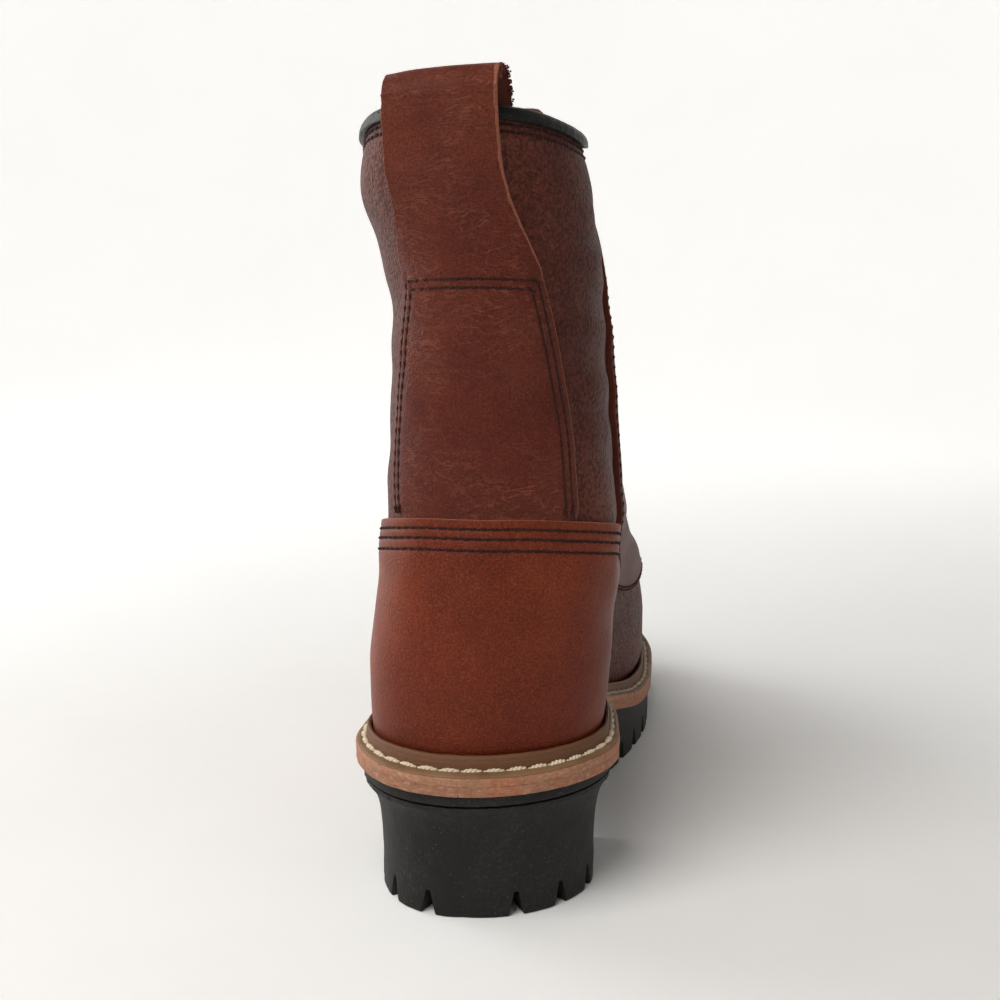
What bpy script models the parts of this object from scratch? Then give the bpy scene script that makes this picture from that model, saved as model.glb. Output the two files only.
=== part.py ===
"""A left logger boot with an eight-inch shaft, about a men's size 10, standing empty on its sole.

+Y points to the toe, +X to the medial side and +Z up. The origin is on the floor, under the middle of
the heel. The sizes and tables are in millimetres, and MM turns them into Blender's metres.
"""

import math

import bmesh
import bpy
import numpy as np
from mathutils import Matrix, Vector

MM = 0.001
GAP = 0.3  # air between two pieces that touch on the real boot

# Leather, rubber and cord thicknesses
WALL = 2.8
OVERLAY = 1.6
OVERLAY_GAP = 1.15
STRAP = 2.2
TONGUE = 3.0
INSOLE = 3.0
INSOLE_MARGIN = 1.4
MIDSOLE = 3.2
WELT = 2.9
LACE_RADIUS = 1.7

# The welt's outer edge seen from above: its two ends, the length of each rounded end, and the half
# width at the heel, waist, ball and toe
SOLE_BACK = -44.0
SOLE_FRONT = 264.0
SOLE_HEEL_CAP = 44.0
SOLE_TOE_CAP = 66.0
SOLE_HALF_WIDTHS = (41.3, 37.0, 53.6, 50.0)

# Where along a ring, from its back to its front, each half width is reached
WIDTH_STATIONS = (0.13, 0.38, 0.68, 0.90)

# The foot's middle line: y, x
SWING = (
    (-44.0, 0.0),
    (20.0, 0.0),
    (75.0, -3.0),
    (150.0, -3.4),
    (210.0, -0.5),
    (264.0, 4.5),
)

# The rear end of every outline lies towards the lateral side by this much, fading out forwards
BACK_SKEW = -4.5
BACK_SKEW_LENGTH = 50.0

# Top of the rubber under the leather midsole: y, z
SEAT = (
    (-44.0, 43.2),
    (0.0, 43.0),
    (28.0, 42.3),
    (60.0, 37.0),
    (100.0, 25.6),
    (140.0, 17.2),
    (175.0, 15.8),
    (215.0, 18.2),
    (264.0, 26.0),
)

# Underside of the rubber outsole: y, z
TREAD = (
    (-44.0, 40.2),
    (48.0, 39.4),
    (56.0, 35.8),
    (68.0, 29.5),
    (82.0, 21.5),
    (92.0, 10.5),
    (99.0, 2.0),
    (105.0, 0.0),
    (192.0, 0.0),
    (228.0, 2.6),
    (264.0, 10.0),
)

# The rings of the upper's outer face, from the feather edge to the collar. Each runs from a point at
# the back to one at the front, with half widths at the four stations and a rounded cap at both ends.
# lean shifts it sideways, dip lowers its sides, and follow is how far it keeps to the sole's curve.
RING_COLUMNS = (
    "back_y", "back_z", "front_y", "front_z", "heel", "waist", "ball", "toe",
    "back_cap", "front_cap", "lean", "dip", "follow",
)
RINGS = (
    (-30.5, 46.9, 252.0, 27.8, 34.0, 29.5, 45.5, 41.0, 33.0, 56.0, 0.0, 0.0, 1.00),
    (-32.8, 60.0, 256.0, 40.0, 35.3, 33.0, 51.2, 46.0, 35.0, 60.0, 0.4, 0.0, 1.00),
    (-34.2, 76.0, 253.0, 53.5, 36.0, 34.6, 50.8, 45.5, 36.0, 66.0, 0.9, 0.0, 0.80),
    (-33.6, 95.0, 239.0, 65.0, 35.4, 35.4, 47.5, 42.5, 36.0, 78.0, 2.4, 0.0, 0.55),
    (-31.8, 112.0, 212.0, 74.0, 35.8, 36.0, 43.5, 39.0, 37.0, 88.0, 3.6, 0.0, 0.30),
    (-30.0, 126.0, 180.0, 83.0, 36.4, 36.8, 40.5, 36.0, 38.0, 88.0, 3.8, 0.0, 0.12),
    (-28.8, 143.0, 150.0, 98.0, 35.8, 36.6, 37.6, 35.0, 40.0, 80.0, 3.0, 0.0, 0.00),
    (-28.5, 160.0, 121.0, 121.0, 34.4, 35.4, 36.2, 35.0, 42.0, 68.0, 2.6, 0.0, 0.00),
    (-28.9, 178.0, 98.0, 149.0, 34.0, 34.6, 35.0, 34.6, 46.0, 60.0, 2.0, 0.0, 0.00),
    (-29.6, 196.0, 84.0, 179.0, 33.6, 34.0, 34.2, 34.2, 50.0, 56.0, 1.2, 1.0, 0.00),
    (-30.4, 213.0, 77.5, 206.0, 35.4, 35.8, 35.8, 35.6, 52.0, 54.0, -1.9, 3.0, 0.00),
    (-31.2, 229.0, 76.0, 227.0, 36.6, 36.8, 36.8, 36.4, 53.0, 54.0, -5.4, 5.0, 0.00),
    (-31.6, 243.0, 78.0, 243.0, 33.8, 34.2, 34.2, 34.0, 53.0, 56.0, -6.3, 5.4, 0.00),
)
COLLAR = len(RINGS) - 1.0

# Shares of a ring's half circuit, from back to front, at which its back cap ends and its front cap
# starts: round the sole and the lowest ring, then at the collar
SOLE_SHARES = (0.25, 0.62)
COLLAR_SHARES = (0.42, 0.53)

# The throat: half its width by ring number, from its foot to the collar
THROAT_FOOT = 6.0
THROAT_HALF_WIDTHS = ((6.0, 6.5), (6.6, 9.5), (8.0, 11.5), (12.0, 15.5))

# The counter's and quarters' stitched edge seen from the side: y, z
BAND_LINE = (
    (-60.0, 126.4), (-31.0, 126.3), (-18.0, 123.9), (-6.0, 121.3), (10.0, 117.6), (26.0, 110.5),
    (60.0, 90.0), (92.0, 75.0), (122.0, 68.0), (146.0, 71.0), (160.0, 79.0), (172.0, 100.0),
)
COUNTER_FRONT_LOW = 76.0
COUNTER_FRONT_HIGH = 84.0
COUNTER_FOOT_RING = 0.03

# The quarter's rear edge seen from the side: z, y
QUARTER_REAR = ((96.0, 46.0), (112.0, 27.0), (132.0, 38.0), (156.0, 52.0), (190.0, 52.0), (243.0, 50.0))
QUARTER_FOOT_U = 0.42
QUARTER_CLEAR = 0.12

# The heel block: breast and inset from the welt's edge at each height
HEEL_TOP = 38.9
BREAST_TOP = 40.5
BREAST_FOOT = 35.0
HEEL_BACK_SHARE = 1.65
HEEL_BREAST_SHARE = 0.62
HEEL_INSETS = ((38.9, 0.8), (36.2, 2.6), (33.0, 4.0), (27.0, 5.4), (18.0, 6.2), (0.0, 6.8))

# The lugs: V-shaped grooves round the tread, and a narrow one along the forefoot's middle
NOTCH_HEIGHT = 8.0
NOTCH_FOOT = 5.5
NOTCH_CREST = 1.4
NOTCH_LEAD = 3.0
HEEL_NOTCH_LENGTH = 12.0
HEEL_NOTCHES = (16.0, 34.0, 51.0, 66.0)
TREAD_NOTCH_START = 116.0
TREAD_NOTCH_STEP = 16.5
TREAD_NOTCHES = 8
TREAD_NOTCH_LENGTH = 26.0
TREAD_NOTCH_SWEEP = 14.0
SPINE_START = 112.0
SPINE_END = 226.0
SPINE_WIDTH = 5.0
SPINE_DEPTH = 5.0

# The welt's raised inner ridge and its stitch channel
WELT_RIDGE = 4.2
WELT_RIDGE_WIDTH = 4.6
WELT_CHANNEL = 0.7
WELT_CLEARANCES = ((86.0, 3.1), (114.0, 0.8))
WELT_SPREAD = (
    (-44.0, 0.0), (-28.0, 0.5), (0.0, 1.9), (50.0, 2.6), (100.0, 1.8),
    (135.0, 2.8), (190.0, 2.6), (228.0, 1.0), (264.0, 0.0),
)
RUBBER_SPREAD = ((88.0, 0.0), (130.0, 2.2), (190.0, 2.0), (228.0, 0.6), (264.0, 0.0))
WELT_RIDGE_SHARE = 0.5
WELT_INNER_RING = 0.62
WELT_FOOT_RING = 0.05
AT_FOOT = None

# The pull strap: half width by height where it lies on the shaft, then its free loop over the collar
STRAP_FOOT_Z = 127.0
STRAP_CLEAR = 0.06
STRAP_SEWN_Z = 197.0
STRAP_HALF_WIDTHS = (
    (126.0, 29.5), (150.0, 28.5), (175.0, 25.5), (197.0, 21.6), (222.0, 16.8), (262.0, 15.6),
)
STRAP_OUTER_Y = -38.2
STRAP_FOLD_RADIUS = 7.8
STRAP_TOP_Z = 259.6
STRAP_TILT = 0.09
STRAP_INNER_Z = 214.0
STRAP_INNER_BOW = 1.95

# Collar roll, tongue and lacing
ROLL_HEIGHT = 4.8
ROLL_HALF_WIDTH = 3.6
TONGUE_SPREAD = 13.0
TONGUE_FOOT = 5.2
TONGUE_RISE = 0.75
TONGUE_INSETS = ((5.0, 3.9), (9.5, 3.9), (11.0, 5.0), (12.0, 6.2), (13.0, 6.4))
EYELET_PAIRS = 8
EYELET_FIRST_RING = 6.75
EYELET_LAST_RING = 11.72
EYELET_INSET = 9.5
EYELET_FLANGE = 4.4
EYELET_BORE = 2.0
EYELET_BARREL = 2.5
EYELET_RIM = 0.7
EYELET_LIFT = 0.45
DRILL_RADIUS = 3.3
LACE_LIFTS = (0.7, 0.5, -0.6, 0.5, 0.7)
LACE_STEP = 0.13

COLOURS = {
    "shaft_leather": ((0.115, 0.036, 0.022), 0.48, 0.0),
    "smooth_leather": ((0.135, 0.040, 0.022), 0.42, 0.0),
    "collar_leather": ((0.028, 0.030, 0.030), 0.45, 0.0),
    "lining": ((0.030, 0.028, 0.026), 0.9, 0.0),
    "welt": ((0.170, 0.088, 0.042), 0.6, 0.0),
    "midsole_leather": ((0.330, 0.135, 0.070), 0.65, 0.0),
    "rubber": ((0.012, 0.011, 0.010), 0.75, 0.0),
    "eyelet_metal": ((0.160, 0.110, 0.060), 0.35, 1.0),
    "lace": ((0.090, 0.035, 0.020), 0.8, 0.0),
}


def knot_slopes(knots, values):
    """Slopes at the knots that never carry a curve past its neighbouring values."""
    rise = np.diff(values, axis=0) / np.diff(knots).reshape((-1,) + (1,) * (np.ndim(values) - 1))
    before, after = rise[:-1], rise[1:]
    total = np.where(before * after > 0, before + after, 1.0)
    inner = np.where(before * after > 0, 2 * before * after / total, 0.0)
    return np.concatenate([rise[:1], inner, rise[-1:]])


def through(knots, values, x):
    """A smooth curve through the values at the knots, held flat past its ends."""
    knots, values, x = np.array(knots, float), np.array(values, float), np.asarray(x, float)
    slopes = knot_slopes(knots, values)
    result = values[0] + 0 * x
    for i, step in enumerate(np.diff(knots)):
        t = np.clip((x - knots[i]) / step, 0, 1)
        piece = (
            values[i] * (1 + 2 * t) * (1 - t) ** 2
            + values[i + 1] * (3 - 2 * t) * t**2
            + slopes[i] * step * t * (1 - t) ** 2
            - slopes[i + 1] * step * t**2 * (1 - t)
        )
        result = np.where(x >= knots[i], piece, result)
    return result


def smooth(table, x):
    """A smooth curve through the table's (x, value) rows."""
    knots, values = zip(*table)
    return through(knots, values, x)


def cap_shares(v):
    """Where the two caps of ring v end and start, as shares of its half circuit."""
    rise = np.clip(np.asarray(v, float) / COLLAR, 0, 1)
    return [low + (high - low) * rise for low, high in zip(SOLE_SHARES, COLLAR_SHARES)]


def half_ring(q, shares, back, front, back_cap, front_cap, half_widths):
    """Distance along a ring and half width there, at share q of the way round from back to front."""
    length = front - back
    back_share, front_share = shares
    back_angle = np.clip(q / back_share, 0, 1) * math.pi / 2
    front_angle = np.clip((1 - q) / (1 - front_share), 0, 1) * math.pi / 2
    middle = np.clip((q - back_share) / (front_share - back_share), 0, 1)
    along = (
        back_cap * (1 - np.cos(back_angle))
        + (length - back_cap - front_cap) * middle
        + front_cap * np.cos(front_angle)
    )
    share = along / length
    width = through(WIDTH_STATIONS, half_widths, share)
    return along, width * np.sin(back_angle) * np.sin(front_angle)


def skew(along):
    """Sideways shift of an outline this far along from its rear end."""
    return BACK_SKEW * np.clip(1 - along / BACK_SKEW_LENGTH, 0, 1) ** 2


def feather_height(y):
    """Height of the upper's lower edge, which stands on the midsole."""
    return smooth(SEAT, y) + GAP + MIDSOLE + 2.4 * GAP


def shell_point(u, v):
    """A point of the upper's outer face.

    u runs round a ring from 0 at the back to 1 at the front by the medial side and -1 by the lateral
    side, and v counts the rings from 0 at the feather edge to COLLAR.
    """
    u, v = np.broadcast_arrays(np.asarray(u, float), np.asarray(v, float))
    rows = range(len(RINGS))
    ring = {
        name: smooth([(k, RINGS[k][i]) for k in rows], v)
        for i, name in enumerate(RING_COLUMNS)
    }
    widths = [ring["heel"], ring["waist"], ring["ball"], ring["toe"]]
    caps = ring["back_cap"], ring["front_cap"]
    along, width = half_ring(
        np.abs(u), cap_shares(v), ring["back_y"], ring["front_y"], *caps, widths
    )
    share = along / (ring["front_y"] - ring["back_y"])
    y = ring["back_y"] + along
    low_back, low_back_z, low_front, low_front_z = RINGS[0][:4]
    low_y = low_back + share * (low_front - low_back)
    sole_curve = feather_height(low_y) - low_back_z * (1 - share) - low_front_z * share
    z = ring["back_z"] * (1 - share) + ring["front_z"] * share + ring["follow"] * sole_curve
    z = z - ring["dip"] * np.sin(math.pi * share) ** 2
    z = z + np.maximum(v - COLLAR, 0) * (RINGS[-1][1] - RINGS[-2][1])
    low = np.clip(1 - v / COLLAR, 0, 1)
    x = np.sign(u) * width + low * smooth(SWING, y) + skew(along) + ring["lean"]
    return np.stack([x, y, z], axis=-1)


def shell_normal(u, v):
    """Outward unit normal of the upper's outer face."""
    step = 1e-3
    along_u = shell_point(u + step, v) - shell_point(u - step, v)
    along_v = shell_point(u, v + step) - shell_point(u, v - step)
    normal = np.cross(along_u, along_v)
    return normal / np.linalg.norm(normal, axis=-1, keepdims=True)


def shell_offset(u, v, offset):
    """The outer face's point moved outwards by offset."""
    return shell_point(u, v) + np.asarray(offset)[..., None] * shell_normal(u, v)


def share_off_middle(v, half_width):
    """The share q round ring v at which the front cap is this far from the middle line."""
    widths = smooth([(k, RINGS[k][RING_COLUMNS.index("toe")]) for k in range(len(RINGS))], v)
    angle = np.arcsin(np.clip(half_width / widths, 0, 1))
    return 1 - (1 - cap_shares(v)[1]) * angle / (math.pi / 2)


def throat_share(v):
    """The share q at which the facing's edge lies, carried straight on below the throat."""
    return share_off_middle(np.maximum(v, THROAT_FOOT), smooth(THROAT_HALF_WIDTHS, v))


def ring_at_height(z):
    """The ring number whose back stands at height z."""
    v = np.linspace(0, COLLAR, 400)
    return np.interp(z, shell_point(0.0, v)[:, 2], v)


def ring_on_line(u, line):
    """The ring number at which column u crosses a side-view line z(y)."""
    v = np.linspace(0, COLLAR, 240)
    points = shell_point(np.full_like(v, u), v)
    above = points[:, 2] - smooth(line, points[:, 1])
    return float(np.interp(0, above, v))


def share_at(v, y):
    """The share q round ring v at which its side reaches y."""
    q = np.linspace(0, 1, 200)
    return float(np.interp(y, shell_point(q, np.full_like(q, v))[:, 1], q))


def new_object(name, mesh, material, collection="logger_boot"):
    """An object for the mesh in its collection, with a material from COLOURS."""
    made = bpy.data.objects.new(name, mesh)
    bpy.data.collections[collection].objects.link(made)
    if material:
        mesh.materials.append(bpy.data.materials[material])
    return made


def mesh_from(bm, name, closed=True):
    """A smooth-shaded mesh from bm, in metres. A closed one gets its faces pointing out."""
    if closed:
        bmesh.ops.recalc_face_normals(bm, faces=bm.faces)
    bmesh.ops.scale(bm, vec=(MM, MM, MM), verts=bm.verts)
    mesh = bpy.data.meshes.new(name)
    bm.to_mesh(mesh)
    bm.free()
    mesh.shade_smooth()
    mesh.set_sharp_from_angle(angle=math.radians(40))
    return mesh


def grid(points):
    """A bmesh grid over a rows by columns array of points."""
    rows, columns = points.shape[:2]
    bm = bmesh.new()
    bmesh.ops.create_grid(bm, x_segments=columns - 1, y_segments=rows - 1, size=1)
    bm.verts.ensure_lookup_table()
    for vert, point in zip(bm.verts, points.reshape(-1, 3)):
        vert.co = point
    return bm


def loft(loops):
    """A closed solid through a list of closed loops of equal length."""
    bm = bmesh.new()
    rings = [[bm.verts.new(point) for point in loop] for loop in loops]
    count = len(rings[0])
    for low, high in zip(rings, rings[1:]):
        for i in range(count):
            j = (i + 1) % count
            bm.faces.new((low[i], low[j], high[j], high[i]))
    bm.faces.new(reversed(rings[0]))
    bm.faces.new(rings[-1])
    return bm


def solidify(target, thickness, offset=-1.0):
    """Gives an open sheet its thickness, inwards unless offset says otherwise."""
    modifier = target.modifiers.new("thickness", "SOLIDIFY")
    modifier.thickness = thickness * MM
    modifier.offset = offset
    modifier.use_even_offset = True
    modifier.use_quality_normals = True
    return target


def cut(target, cutter):
    """Cuts cutter out of target."""
    modifier = target.modifiers.new(cutter.name, "BOOLEAN")
    modifier.operation = "DIFFERENCE"
    modifier.object = cutter


def as_cutter(made):
    """Marks an object as a tool that the boot doesn't show."""
    made.hide_render = True
    made.display_type = "WIRE"
    return made


def sole_outline(q, side, inset=0.0):
    """Points on the welt's outer edge at share q from heel to toe, on one side, moved in by inset."""
    q = np.asarray(q, float)

    def at(share):
        along, width = half_ring(
            share, SOLE_SHARES, SOLE_BACK, SOLE_FRONT, SOLE_HEEL_CAP, SOLE_TOE_CAP, SOLE_HALF_WIDTHS
        )
        y = SOLE_BACK + along
        return np.stack([side * width + smooth(SWING, y) + skew(along), y], axis=-1)

    step = 1e-4
    tangent = at(np.clip(q + step, 0, 1)) - at(np.clip(q - step, 0, 1))
    tangent /= np.linalg.norm(tangent, axis=-1, keepdims=True)
    inward = side * np.stack([-tangent[..., 1], tangent[..., 0]], axis=-1)
    return at(q) + np.asarray(inset)[..., None] * inward


def spread_outline(q, side, inset, spread):
    """The sole's outline moved in by inset, and out by what the spread table (y, width) adds."""
    return sole_outline(q, side, inset - smooth(spread, sole_outline(q, side)[..., 1]))


def around_sole(count, spread):
    """A closed loop round the sole with count points a side, from the heel by the medial side."""
    q = np.linspace(0, 1, count + 1)
    medial = spread_outline(q[:-1], 1, 0.0, spread)
    lateral = spread_outline(q[1:], -1, 0.0, spread)[::-1]
    return np.concatenate([medial, lateral])


def sole_slab(name, material, count, inset, spread, low, high):
    """A layer of the sole: its outline moved in, between two heights given as functions of y."""
    q = (np.arange(count) + 0.5) / count
    lateral = spread_outline(q, -1, inset, spread)
    medial = spread_outline(q, 1, inset, spread)
    loops = [
        ((*a, low(a[1])), (*b, low(b[1])), (*b, high(b[1])), (*a, high(a[1])))
        for a, b in zip(lateral, medial)
    ]
    return new_object(name, mesh_from(loft(loops), name), material)


def wedge(bm, origin, direction, length, foot, crest, height):
    """Adds a groove cutter: a bar of trapezoid section, wide below, along direction from origin."""
    below = 2.0
    start = Vector((origin[0], origin[1], 0.0))
    forward = Vector((direction[0], direction[1], 0.0)).normalized()
    across = Vector((-forward.y, forward.x, 0.0))
    slope = (foot - crest) / (2 * height)
    made = bmesh.ops.create_cube(bm, size=1.0)
    for vert in made["verts"]:
        top = vert.co.z > 0
        half = crest / 2 if top else foot / 2 + slope * below
        vert.co = (
            start
            + forward * (length if vert.co.x > 0 else 0.0)
            + across * math.copysign(half, vert.co.y)
            + Vector((0.0, 0.0, height if top else -below))
        )


def notch_cutter(name, places):
    """One cutter holding a wedge for each (origin, direction, length) place."""
    bm = bmesh.new()
    for origin, direction, length in places:
        wedge(bm, origin, direction, length, NOTCH_FOOT, NOTCH_CREST, NOTCH_HEIGHT)
    return as_cutter(new_object(name, mesh_from(bm, name), None, "cutters"))


def make_outsole():
    """The full-length rubber layer, with V-shaped grooves between its forefoot lugs."""
    outsole = sole_slab(
        "outsole", "rubber", 44, 1.0, RUBBER_SPREAD,
        lambda y: smooth(TREAD, y),
        lambda y: smooth(SEAT, y),
    )
    q = np.linspace(0, 1, 400)
    for side, label in ((1, "medial"), (-1, "lateral")):
        edge = sole_outline(q, side, -3.0)
        places = []
        for i in range(TREAD_NOTCHES):
            y = TREAD_NOTCH_START + i * TREAD_NOTCH_STEP
            q_here = np.interp(y, edge[:, 1], q)
            origin = sole_outline(q_here, side, -3.0)
            middle = np.array([smooth(SWING, y), y - TREAD_NOTCH_SWEEP])
            direction = middle - origin
            reach = min(TREAD_NOTCH_LENGTH, np.linalg.norm(direction) - SPINE_WIDTH)
            places.append((origin, direction, reach))
        cut(outsole, notch_cutter(f"tread_notches_{label}", places))
    cut(outsole, spine_cutter())
    return outsole


def spine_cutter():
    """The groove along the middle of the forefoot."""
    y = np.linspace(SPINE_START, SPINE_END, 7)
    loops = []
    for middle in np.column_stack([smooth(SWING, y), y]):
        loops.append([
            (middle[0] + sx * SPINE_WIDTH / 2, middle[1], z)
            for sx, z in ((-1, -2.0), (1, -2.0), (0.6, SPINE_DEPTH), (-0.6, SPINE_DEPTH))
        ])
    return as_cutter(new_object("spine_groove", mesh_from(loft(loops), "spine_groove"), None, "cutters"))


def heel_share(q):
    """How much of its inset the heel block takes at share q: most at the back, least at the breast."""
    knots = (0.0, SOLE_SHARES[0], SOLE_SHARES[0] + 0.1)
    return through(knots, (HEEL_BACK_SHARE, 1.0, HEEL_BREAST_SHARE), q)


def heel_loop(z, inset, count=15):
    """The heel block's outline at height z: round the back from breast corner to breast corner."""
    breast = BREAST_FOOT + (BREAST_TOP - BREAST_FOOT) * z / HEEL_TOP
    q = np.linspace(0, 1, 400)
    sides = []
    for side in (1, -1):
        edge = sole_outline(q, side, inset * heel_share(q))
        ahead = np.interp(breast, edge[:, 1], q)
        shares = np.linspace(0, ahead, count)
        sides.append(sole_outline(shares, side, inset * heel_share(shares)))
    medial, lateral = sides
    loop = np.concatenate([medial[::-1], lateral[1:]])
    return np.column_stack([loop, np.full(len(loop), z)])


def make_heel():
    """The flared rubber heel block, notched all round its foot."""
    loops = [heel_loop(z, inset) for z, inset in HEEL_INSETS]
    heel = new_object("heel", mesh_from(loft(loops[::-1]), "heel"), "rubber")
    rim = heel_loop(0.0, HEEL_INSETS[-1][1] - NOTCH_LEAD, 60)[:, :2]
    steps = np.linalg.norm(np.diff(rim, axis=0), axis=1)
    travelled = np.concatenate([[0], np.cumsum(steps)])
    middle = travelled[-1] / 2
    places = []
    for distance in HEEL_NOTCHES:
        for at in (middle - distance, middle + distance):
            before, origin, after = (
                np.array([np.interp(at + shift, travelled, rim[:, k]) for k in range(2)])
                for shift in (-1.0, 0.0, 1.0)
            )
            inward = (after[1] - before[1], before[0] - after[0])
            places.append((origin, inward, HEEL_NOTCH_LENGTH + NOTCH_LEAD))
    cut(heel, notch_cutter("heel_notches", places))
    return heel


def make_midsole():
    """The leather layer between welt and rubber."""
    return sole_slab(
        "midsole", "midsole_leather", 44, 0.4, WELT_SPREAD,
        lambda y: smooth(SEAT, y) + GAP,
        lambda y: smooth(SEAT, y) + GAP + MIDSOLE,
    )


def make_insole():
    """The board inside the upper, flush with its lower edge."""
    count = 30
    q = (np.arange(count) + 0.5) / count
    inner = WALL + GAP + INSOLE_MARGIN
    ring = np.full(count, WELT_FOOT_RING)
    sides = [shell_offset(side * q, ring, np.full(count, -inner)) for side in (-1, 1)]
    loops = []
    for a, b in zip(*sides):
        low = [(x, y, float(feather_height(y)) + GAP) for x, y, _ in (a, b)]
        high = [(x, y, z + INSOLE) for x, y, z in reversed(low)]
        loops.append(low + high)
    return new_object("insole", mesh_from(loft(loops), "insole"), "lining")


def make_welt():
    """The strip round the feather edge: a flat flange, a stitch channel and a raised inner ridge."""
    count = 29
    outer = around_sole(count, WELT_SPREAD)
    shares = np.linspace(0, 1, count + 1)
    u = np.concatenate([shares[:-1], -shares[1:][::-1]])
    clear = smooth(WELT_CLEARANCES, outer[:, 1])
    inner = shell_offset(u, np.full(len(u), WELT_INNER_RING), clear)[:, :2]
    foot = shell_offset(u, np.full(len(u), WELT_FOOT_RING), clear)[:, :2]
    inward = inner - outer
    width = np.linalg.norm(inward, axis=1, keepdims=True)
    inward /= width
    ridge = np.minimum(WELT_RIDGE_WIDTH, WELT_RIDGE_SHARE * width)
    profile = (
        (0.0, 0.0, 0.0, 0.0),
        (0.0, 0.0, 0.0, WELT),
        (1.0, -1.0, -1.2, WELT),
        (1.0, -1.0, -0.4, WELT - WELT_CHANNEL),
        (1.0, -1.0, 0.3, WELT + WELT_RIDGE * 0.6),
        (1.0, -0.55, 0.0, WELT + WELT_RIDGE),
        (1.0, 0.0, 0.0, WELT + WELT_RIDGE * 0.9),
        (AT_FOOT, 0.0, 0.0, 0.0),
    )
    rows = []
    for share, of_ridge, shift, rise in profile + profile[:1]:
        if share is AT_FOOT:
            place = foot
        else:
            place = outer + inward * (width * share + ridge * of_ridge + shift)
        base = smooth(SEAT, place[:, 1]) + GAP + MIDSOLE + 1.5 * GAP
        rows.append(np.column_stack([place, base + rise]))
    points = np.stack(rows, axis=1)
    points = np.concatenate([points, points[:1]])
    bm = grid(points)
    bmesh.ops.remove_doubles(bm, verts=bm.verts, dist=1e-3)
    return new_object("welt", mesh_from(bm, "welt"), "welt")


def make_upper():
    """The hollow upper, open at the collar, the throat and underneath."""
    low_rings = (0.0, 0.5, 1.0, 1.6, 2.3, 3.0, 3.7, 4.4, 5.2, THROAT_FOOT)
    high_rings = (6.4, 7.1, 7.9, 8.8, 9.7, 10.6, COLLAR)
    v = np.array(low_rings + high_rings)
    edge = throat_share(v)
    side = np.linspace(0, 1, 18)
    middle = np.linspace(0, 1, 3)[1:]
    half = np.concatenate(
        [side[None, :] * edge[:, None], edge[:, None] + (1 - edge[:, None]) * middle[None, :]], axis=1
    )
    u = np.concatenate([-half[:, :0:-1], half], axis=1)
    points = shell_point(u, np.broadcast_to(v[:, None], u.shape))
    bm = grid(points)
    throat_row = low_rings.index(THROAT_FOOT)
    columns = u.shape[1]
    bm.faces.ensure_lookup_table()
    opening = []
    for row in range(throat_row, len(v) - 1):
        for column in (0, 1, columns - 3, columns - 2):
            opening.append(bm.faces[row * (columns - 1) + column])
    bmesh.ops.delete(bm, geom=opening, context="FACES")
    bmesh.ops.remove_doubles(bm, verts=bm.verts, dist=1e-3)
    upper = new_object("upper", mesh_from(bm, "upper", closed=False), "shaft_leather")
    return solidify(upper, WALL)


def overlay(name, material, u, v, thickness=OVERLAY):
    """A leather piece laid on the upper over a grid of shell positions."""
    if u[0, 0] > u[0, -1]:
        u, v = u[:, ::-1], v[:, ::-1]
    points = shell_offset(u, v, np.full(u.shape, OVERLAY_GAP + thickness))
    made = new_object(name, mesh_from(grid(points), name, closed=False), material)
    return solidify(made, thickness)


def make_counter():
    """The piece that wraps the heel, from the welt to its stitched top edge."""
    rows = 7
    low = COUNTER_FOOT_RING
    front = np.linspace(0, 1, rows)
    u_rows, v_rows = [], []
    for b in front:
        y = COUNTER_FRONT_LOW + (COUNTER_FRONT_HIGH - COUNTER_FRONT_LOW) * b
        top = ring_on_line(share_at(3.0, y), BAND_LINE)
        edge = share_at(low + (top - low) * b, y)
        u = edge * np.linspace(-1, 1, 27)
        v_top = np.array([ring_on_line(value, BAND_LINE) for value in u])
        u_rows.append(u)
        v_rows.append(low + (v_top - low) * b)
    return overlay("counter", "smooth_leather", np.array(u_rows), np.array(v_rows))


def make_quarter(name, side):
    """The laced panel of one side, from the stitched band up to the collar."""
    rows, columns = 14, 8
    throat = throat_share(np.array([THROAT_FOOT]))[0]
    u_rows, v_rows = [], []
    for b in np.linspace(0, 1, rows):
        line = []
        for a in np.linspace(0, 1, columns):
            line.append(quarter_place(a, b, throat))
        u_rows.append([side * place[0] for place in line])
        v_rows.append([place[1] for place in line])
    return overlay(name, "smooth_leather", np.array(u_rows), np.array(v_rows))


def quarter_place(a, b, throat):
    """Shell position in a quarter at a from its rear edge to the facing and b from foot to collar."""
    top = COLLAR - 0.35
    foot_u = QUARTER_FOOT_U + (throat - 0.004 - QUARTER_FOOT_U) * a
    foot_v = ring_on_line(foot_u, BAND_LINE) + QUARTER_CLEAR
    v = foot_v + (top - foot_v) * b
    rear_y = smooth(QUARTER_REAR, shell_point(foot_u * 0.6, v)[2])
    rear_u = share_at(v, rear_y)
    facing_u = throat_share(v) - 0.004 if v > THROAT_FOOT else throat - 0.004
    u = foot_u * (1 - b) + (rear_u + (facing_u - rear_u) * a) * b
    return u, v


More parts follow.
